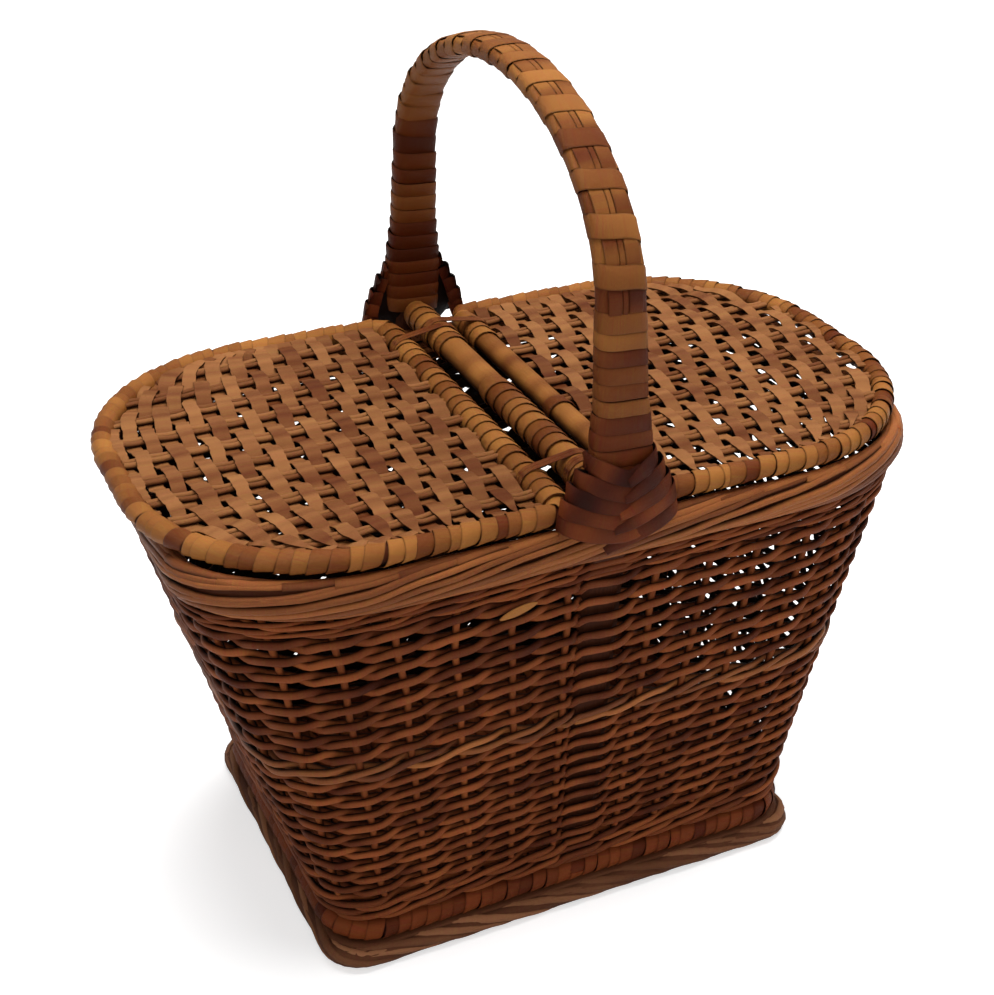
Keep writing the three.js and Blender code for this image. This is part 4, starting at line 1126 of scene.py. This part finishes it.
def lid_run(inset, near=0):
    """Points along the lid's edge, moved inwards: a small quarter turn from the hinge rod, a
    straight, a quarter ellipse, and the same way back."""
    quarter = np.linspace(0, np.pi / 2, 60)
    corner = LID_CORNER[0] - inset, LID_CORNER[1] - inset
    mid_x, mid_y = LID_LENGTH - LID_CORNER[0], LID_HALF - LID_CORNER[1]
    small = quarter[::12] if near else quarter[:1]
    x = np.concatenate([HINGE_X + near - near * np.cos(small),
                        mid_x + corner[0] * np.sin(quarter)])
    y = np.concatenate([inset - LID_HALF + near - near * np.sin(small),
                        -mid_y - corner[1] * np.cos(quarter)])
    x, y = np.concatenate([x, x[::-1]]), np.concatenate([y, -y[::-1]])
    return x, y, way_gone(x, y)


edge_x, edge_y, edge_gone = lid_run(HOOP, NEAR_CORNER)


def lid_line(share):
    """The hoop's middle at a share of its way round from the front end of the hinge rod."""
    way = share * edge_gone[-1]
    return xyz(np.interp(way, edge_gone, edge_x), np.interp(way, edge_gone, edge_y), HINGE_Z)


def lid_side(share):
    """Outwards: the direction of travel, turned a quarter in plan."""
    before, after = np.clip(share - NEAR_SHARE, 0, 1), np.clip(share + NEAR_SHARE, 0, 1)
    ahead = unit(lid_line(after) - lid_line(before))
    return xyz(ahead[..., 1], -ahead[..., 0], 0)


print("round a lid's edge:", round(edge_gone[-1]), "mm")

# %% [markdown]
# The rods of a pair lie side by side, and the skeins weave between them, so a skein's height
# is a cosine along its length with one full wave to two pairs, and its neighbour has the
# opposite sign. Skeins near the hinge are straight; towards the far end they bend more and
# more with the hoop. At the hoop they rise and are tucked into its binding, and at the front
# those that lie on top are pared to a point.

# %% Lid weave
ROD_PAIRS, SKEINS = 10, 20
LID_LEVEL = HINGE_Z + 1.4
LID_ROD = 1.55
EDGE_IN = 2 * HOOP - 0.6
ROD_PITCH = 2 * (LID_HALF - 2 * HOOP) / (ROD_PAIRS + 1 / 3)
FIRST_SKEIN = HINGE_X + 12.4
LAST_SKEIN = LID_LENGTH - EDGE_IN - 4
SKEIN_PITCH = (LAST_SKEIN - FIRST_SKEIN) / (SKEINS - 1)
RISE_LENGTH, PARED_LENGTH = 9.0, 15.0
LOOP_CLEAR, ROD_START, BESIDE_LOOP_START = 4.6, 5.5, 8.5
inner_x, inner_y = lid_run(EDGE_IN)[:2]
inner_half = len(inner_x) // 2


def reach_along_x(y):
    """Where the lid's inner edge lies at an offset y."""
    return np.interp(-np.abs(y), inner_y[1:inner_half], inner_x[1:inner_half])


def reach_along_y(x):
    """Half the lid's inner width at a distance x."""
    return -np.interp(x, inner_x[:inner_half], inner_y[:inner_half])


def lid_rods(seed, loop_at):
    """Two rods to a pair, straight along X, bent slightly by the skeins. They start in the
    hinge rod's binding, or just clear of a hinge loop, which stays when a lid turns."""
    rods = 2 * ROD_PAIRS
    pair = (np.arange(ROD_PAIRS) - (ROD_PAIRS - 1) / 2) * ROD_PITCH
    row = (pair[:, None] + np.array([-LID_ROD, LID_ROD]) * 1.04).reshape(-1, 1)
    beside_loop = np.abs(np.abs(row) - loop_at) < LOOP_CLEAR
    begin = HINGE_X + np.where(beside_loop, BESIDE_LOOP_START, ROD_START)
    go = np.linspace(0, 1, 70)[None]
    x = begin + go * (reach_along_x(row) - begin)
    y = row + 0.5 * wander(go / 5, seed, rows=rods)
    sign = np.where((np.arange(rods) // 2) % 2, 1, -1)[:, None]
    z = LID_LEVEL - 0.25 * np.cos(np.pi * (x - FIRST_SKEIN) / SKEIN_PITCH) * sign
    thick = LID_ROD * (1 + 0.1 * jitter(seed + 1, rods, 1))
    return strands(xyz(x, y, z), UP, thick, thick, 0.5 + 0.35 * jitter(seed + 2, rods, 1))


def lid_skeins(seed, half_width, front):
    """Skein j: x = x_j - bend_j (x_last - edge(y)); height = level + a tanh(1.6 cos(pi y / pair
    pitch)), sign by j, and near the hoop a ramp up to its binding. front is the sign of y at
    the basket's front."""
    order = np.arange(SKEINS)[:, None]
    place = FIRST_SKEIN + SKEIN_PITCH * order + 0.35 * jitter(seed, SKEINS, 1)
    bend = 0.8 * (order / (SKEINS - 1)) ** 3
    reach = reach_along_y((place - LAST_SKEIN * bend) / (1 - bend)) + 0.8
    go = np.linspace(-1, 1, 120)[None]
    y = go * reach
    sway = 0.45 * wander(go / 7, seed + 1, rows=SKEINS)
    x = place - bend * (LAST_SKEIN - reach_along_x(y)) + sway
    wave = np.cos(np.pi * (y / ROD_PITCH - 0.5))
    sign = np.where(order % 2, 1, -1)
    woven = (LID_ROD + 0.55) * np.tanh(1.6 * wave) / np.tanh(1.6) * sign
    rise = ramp((np.abs(y) - reach + RISE_LENGTH) / RISE_LENGTH)
    z = LID_LEVEL + woven * (1 - rise) + 1.6 * rise
    half = half_width * (1 + 0.1 * jitter(seed + 2, SKEINS, 1)
                         + 0.06 * wander(go, seed + 3, rows=SKEINS))
    pared = ramp((front * y - reach + PARED_LENGTH) / PARED_LENGTH)
    on_top = np.cos(np.pi * (front * (ROD_PAIRS - 1) / 2 - 0.5)) * sign > 0
    half = half * (1 - 0.85 * pared * on_top)
    tone = 0.5 + 0.35 * jitter(seed + 4, SKEINS, 1)
    tone = tone + 0.2 * wander(go / 2, seed + 5, rows=SKEINS)
    return strands(xyz(x, y, z), UP, half, 0.45, tone, 6, 0.7)


for name, left, half_width, seed in (("left", True, 4.1, 121), ("right", False, 3.8, 141)):
    loop_at = abs(box_middle(name + "_front_hinge_loop")[0][1])
    weave = [lid_rods(seed, loop_at), lid_skeins(seed + 5, half_width, 1 if left else -1)]
    piece(name + "_lid_weave", turned(weave, left), lid_willow, name + "_lid",
          [name + "_lid_panel"], crease=50)
    binding = wound(lid_line, lid_side, (HOOP - 0.6, HOOP - 0.6), LID_TURNS, 4.5, 0.9, seed + 9,
                    tilt=0.12, slip=0.36, shades=(0.25, 0.95), sunk=range(3, LID_TURNS, 5),
                    deep=0.5, sunk_shade=0.5)
    # Tone -0.3 paints the hoop's core partly in the shade colour: painted shade in the seams
    # between the turns
    core = core_rod(lid_line, HOOP - 1.1, -0.3)
    piece(name + "_lid_hoop_binding", turned([binding, core], left), wrap_willow,
          name + "_lid", [name + "_lid_border"], crease=50)

# %% [markdown]
# ## Carried nodes
# The cores of the handle, the bar and the hinge rods keep their CAD shape, because only a
# sliver of them shows between the strands. Their meshes have no UV map of their own, so they
# get a simpler willow whose streaks follow the object's axes.

# %% Core willow
def core_willow(name, deep, pale, stretch):
    """Streaks from a noise stretched along one axis of the object."""
    material = bpy.data.materials.new(name)
    tree = empty_tree(material)
    place = add(tree, "Mapping", i0=add(tree, "TexCoord").outputs["Object"], Scale=stretch)
    fibre = add(tree, "TexNoise", Vector=place, Scale=1.0, Detail=3.0,
                Roughness=0.6).outputs["Fac"]
    colour = add(tree, "Mix", {"data_type": "RGBA"}, i0=fibre, i6=linear(deep), i7=linear(pale))
    bump = add(tree, "Bump", Strength=0.3, Distance=0.25 * MM, Height=fibre)
    shader = add(tree, "BsdfPrincipled", Base_Color=colour.outputs[2], Roughness=0.6,
                 Normal=bump, Specular_IOR_Level=0.08)
    add(tree, "OutputMaterial", Surface=shader)
    return material


core_upright = core_willow("peeled_willow_bow", "220c05", "4a2412", (900, 900, 60))
core_across = core_willow("peeled_willow_rod", "3a1f11", "66402a", (900, 60, 900))
for node, finish in (("handle_bow", core_upright), ("centre_bar", core_across),
                     ("left_hinge_rod", core_across), ("right_hinge_rod", core_across)):
    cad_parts[node].data.materials.clear()
    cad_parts[node].data.materials.append(finish)

# %% [markdown]
# ## Floor and light
# A plain pale floor runs out of the view, so it is the background too. It shows the basket's
# soft shadow. One large lamp above and a weaker one from the front are enough: the
# world adds even light, so no hollow is black for lack of it. For the camera's own rays the
# world is white.

# %% Floor, lamps and world
FLOOR_SIZE, FLOOR_DROP = 12, 0.4 * MM
FLOOR_GLOW, WORLD_LIGHT = 0.55, 0.27

bpy.ops.mesh.primitive_plane_add(size=FLOOR_SIZE, location=(0, 0, -FLOOR_DROP))
floor = bpy.context.object
floor.name = "floor"
floor_material = bpy.data.materials.new("pale_floor")
tree = empty_tree(floor_material)
paint = add(tree, "BsdfDiffuse", Color=(0.88, 0.88, 0.88, 1))
rays = add(tree, "LightPath")
glow = add(tree, "Emission", Color=(1, 1, 1, 1), Strength=FLOOR_GLOW)
seen = add(tree, "AddShader", i0=paint, i1=glow)
mixed = add(tree, "MixShader", i0=rays.outputs["Is Camera Ray"], i1=paint, i2=seen)
add(tree, "OutputMaterial", Surface=mixed)
floor.data.materials.append(floor_material)


def lamp(name, place, aim, size, watts):
    """A round soft lamp in metres and watts; its own -Z looks from its place to its aim."""
    data = bpy.data.lights.new(name, "AREA")
    data.shape, data.size, data.energy = "DISK", size, watts
    light = bpy.data.objects.new(name, data)
    back = unit(np.array(place, float) - np.array(aim, float))
    side = unit(np.cross([0.0, 0.013, 1.0], back))
    light.matrix_world = placed(side, np.cross(back, side), back, place)
    bpy.context.collection.objects.link(light)


lamp("top_lamp", (0.15, 0.1, 1.9), (0, 0, 0.2), 1.4, 46)
lamp("front_lamp", (-0.6, -1.8, 1.2), (0, 0, 0.2), 1.4, 10)

world = bpy.data.worlds.new("world")
bpy.context.scene.world = world
tree = empty_tree(world)
rays = add(tree, "LightPath")
clear = add(tree, "Math", {"operation": "MAXIMUM"}, i0=rays.outputs["Is Camera Ray"],
            i1=rays.outputs["Is Transmission Ray"])
strength = add(tree, "MapRange", i0=clear, i3=WORLD_LIGHT, i4=1.0)
backdrop = add(tree, "Background", Color=(1, 1, 1, 1), Strength=strength)
add(tree, "OutputWorld", Surface=backdrop)
bpy.context.scene.view_settings.view_transform = "Standard"
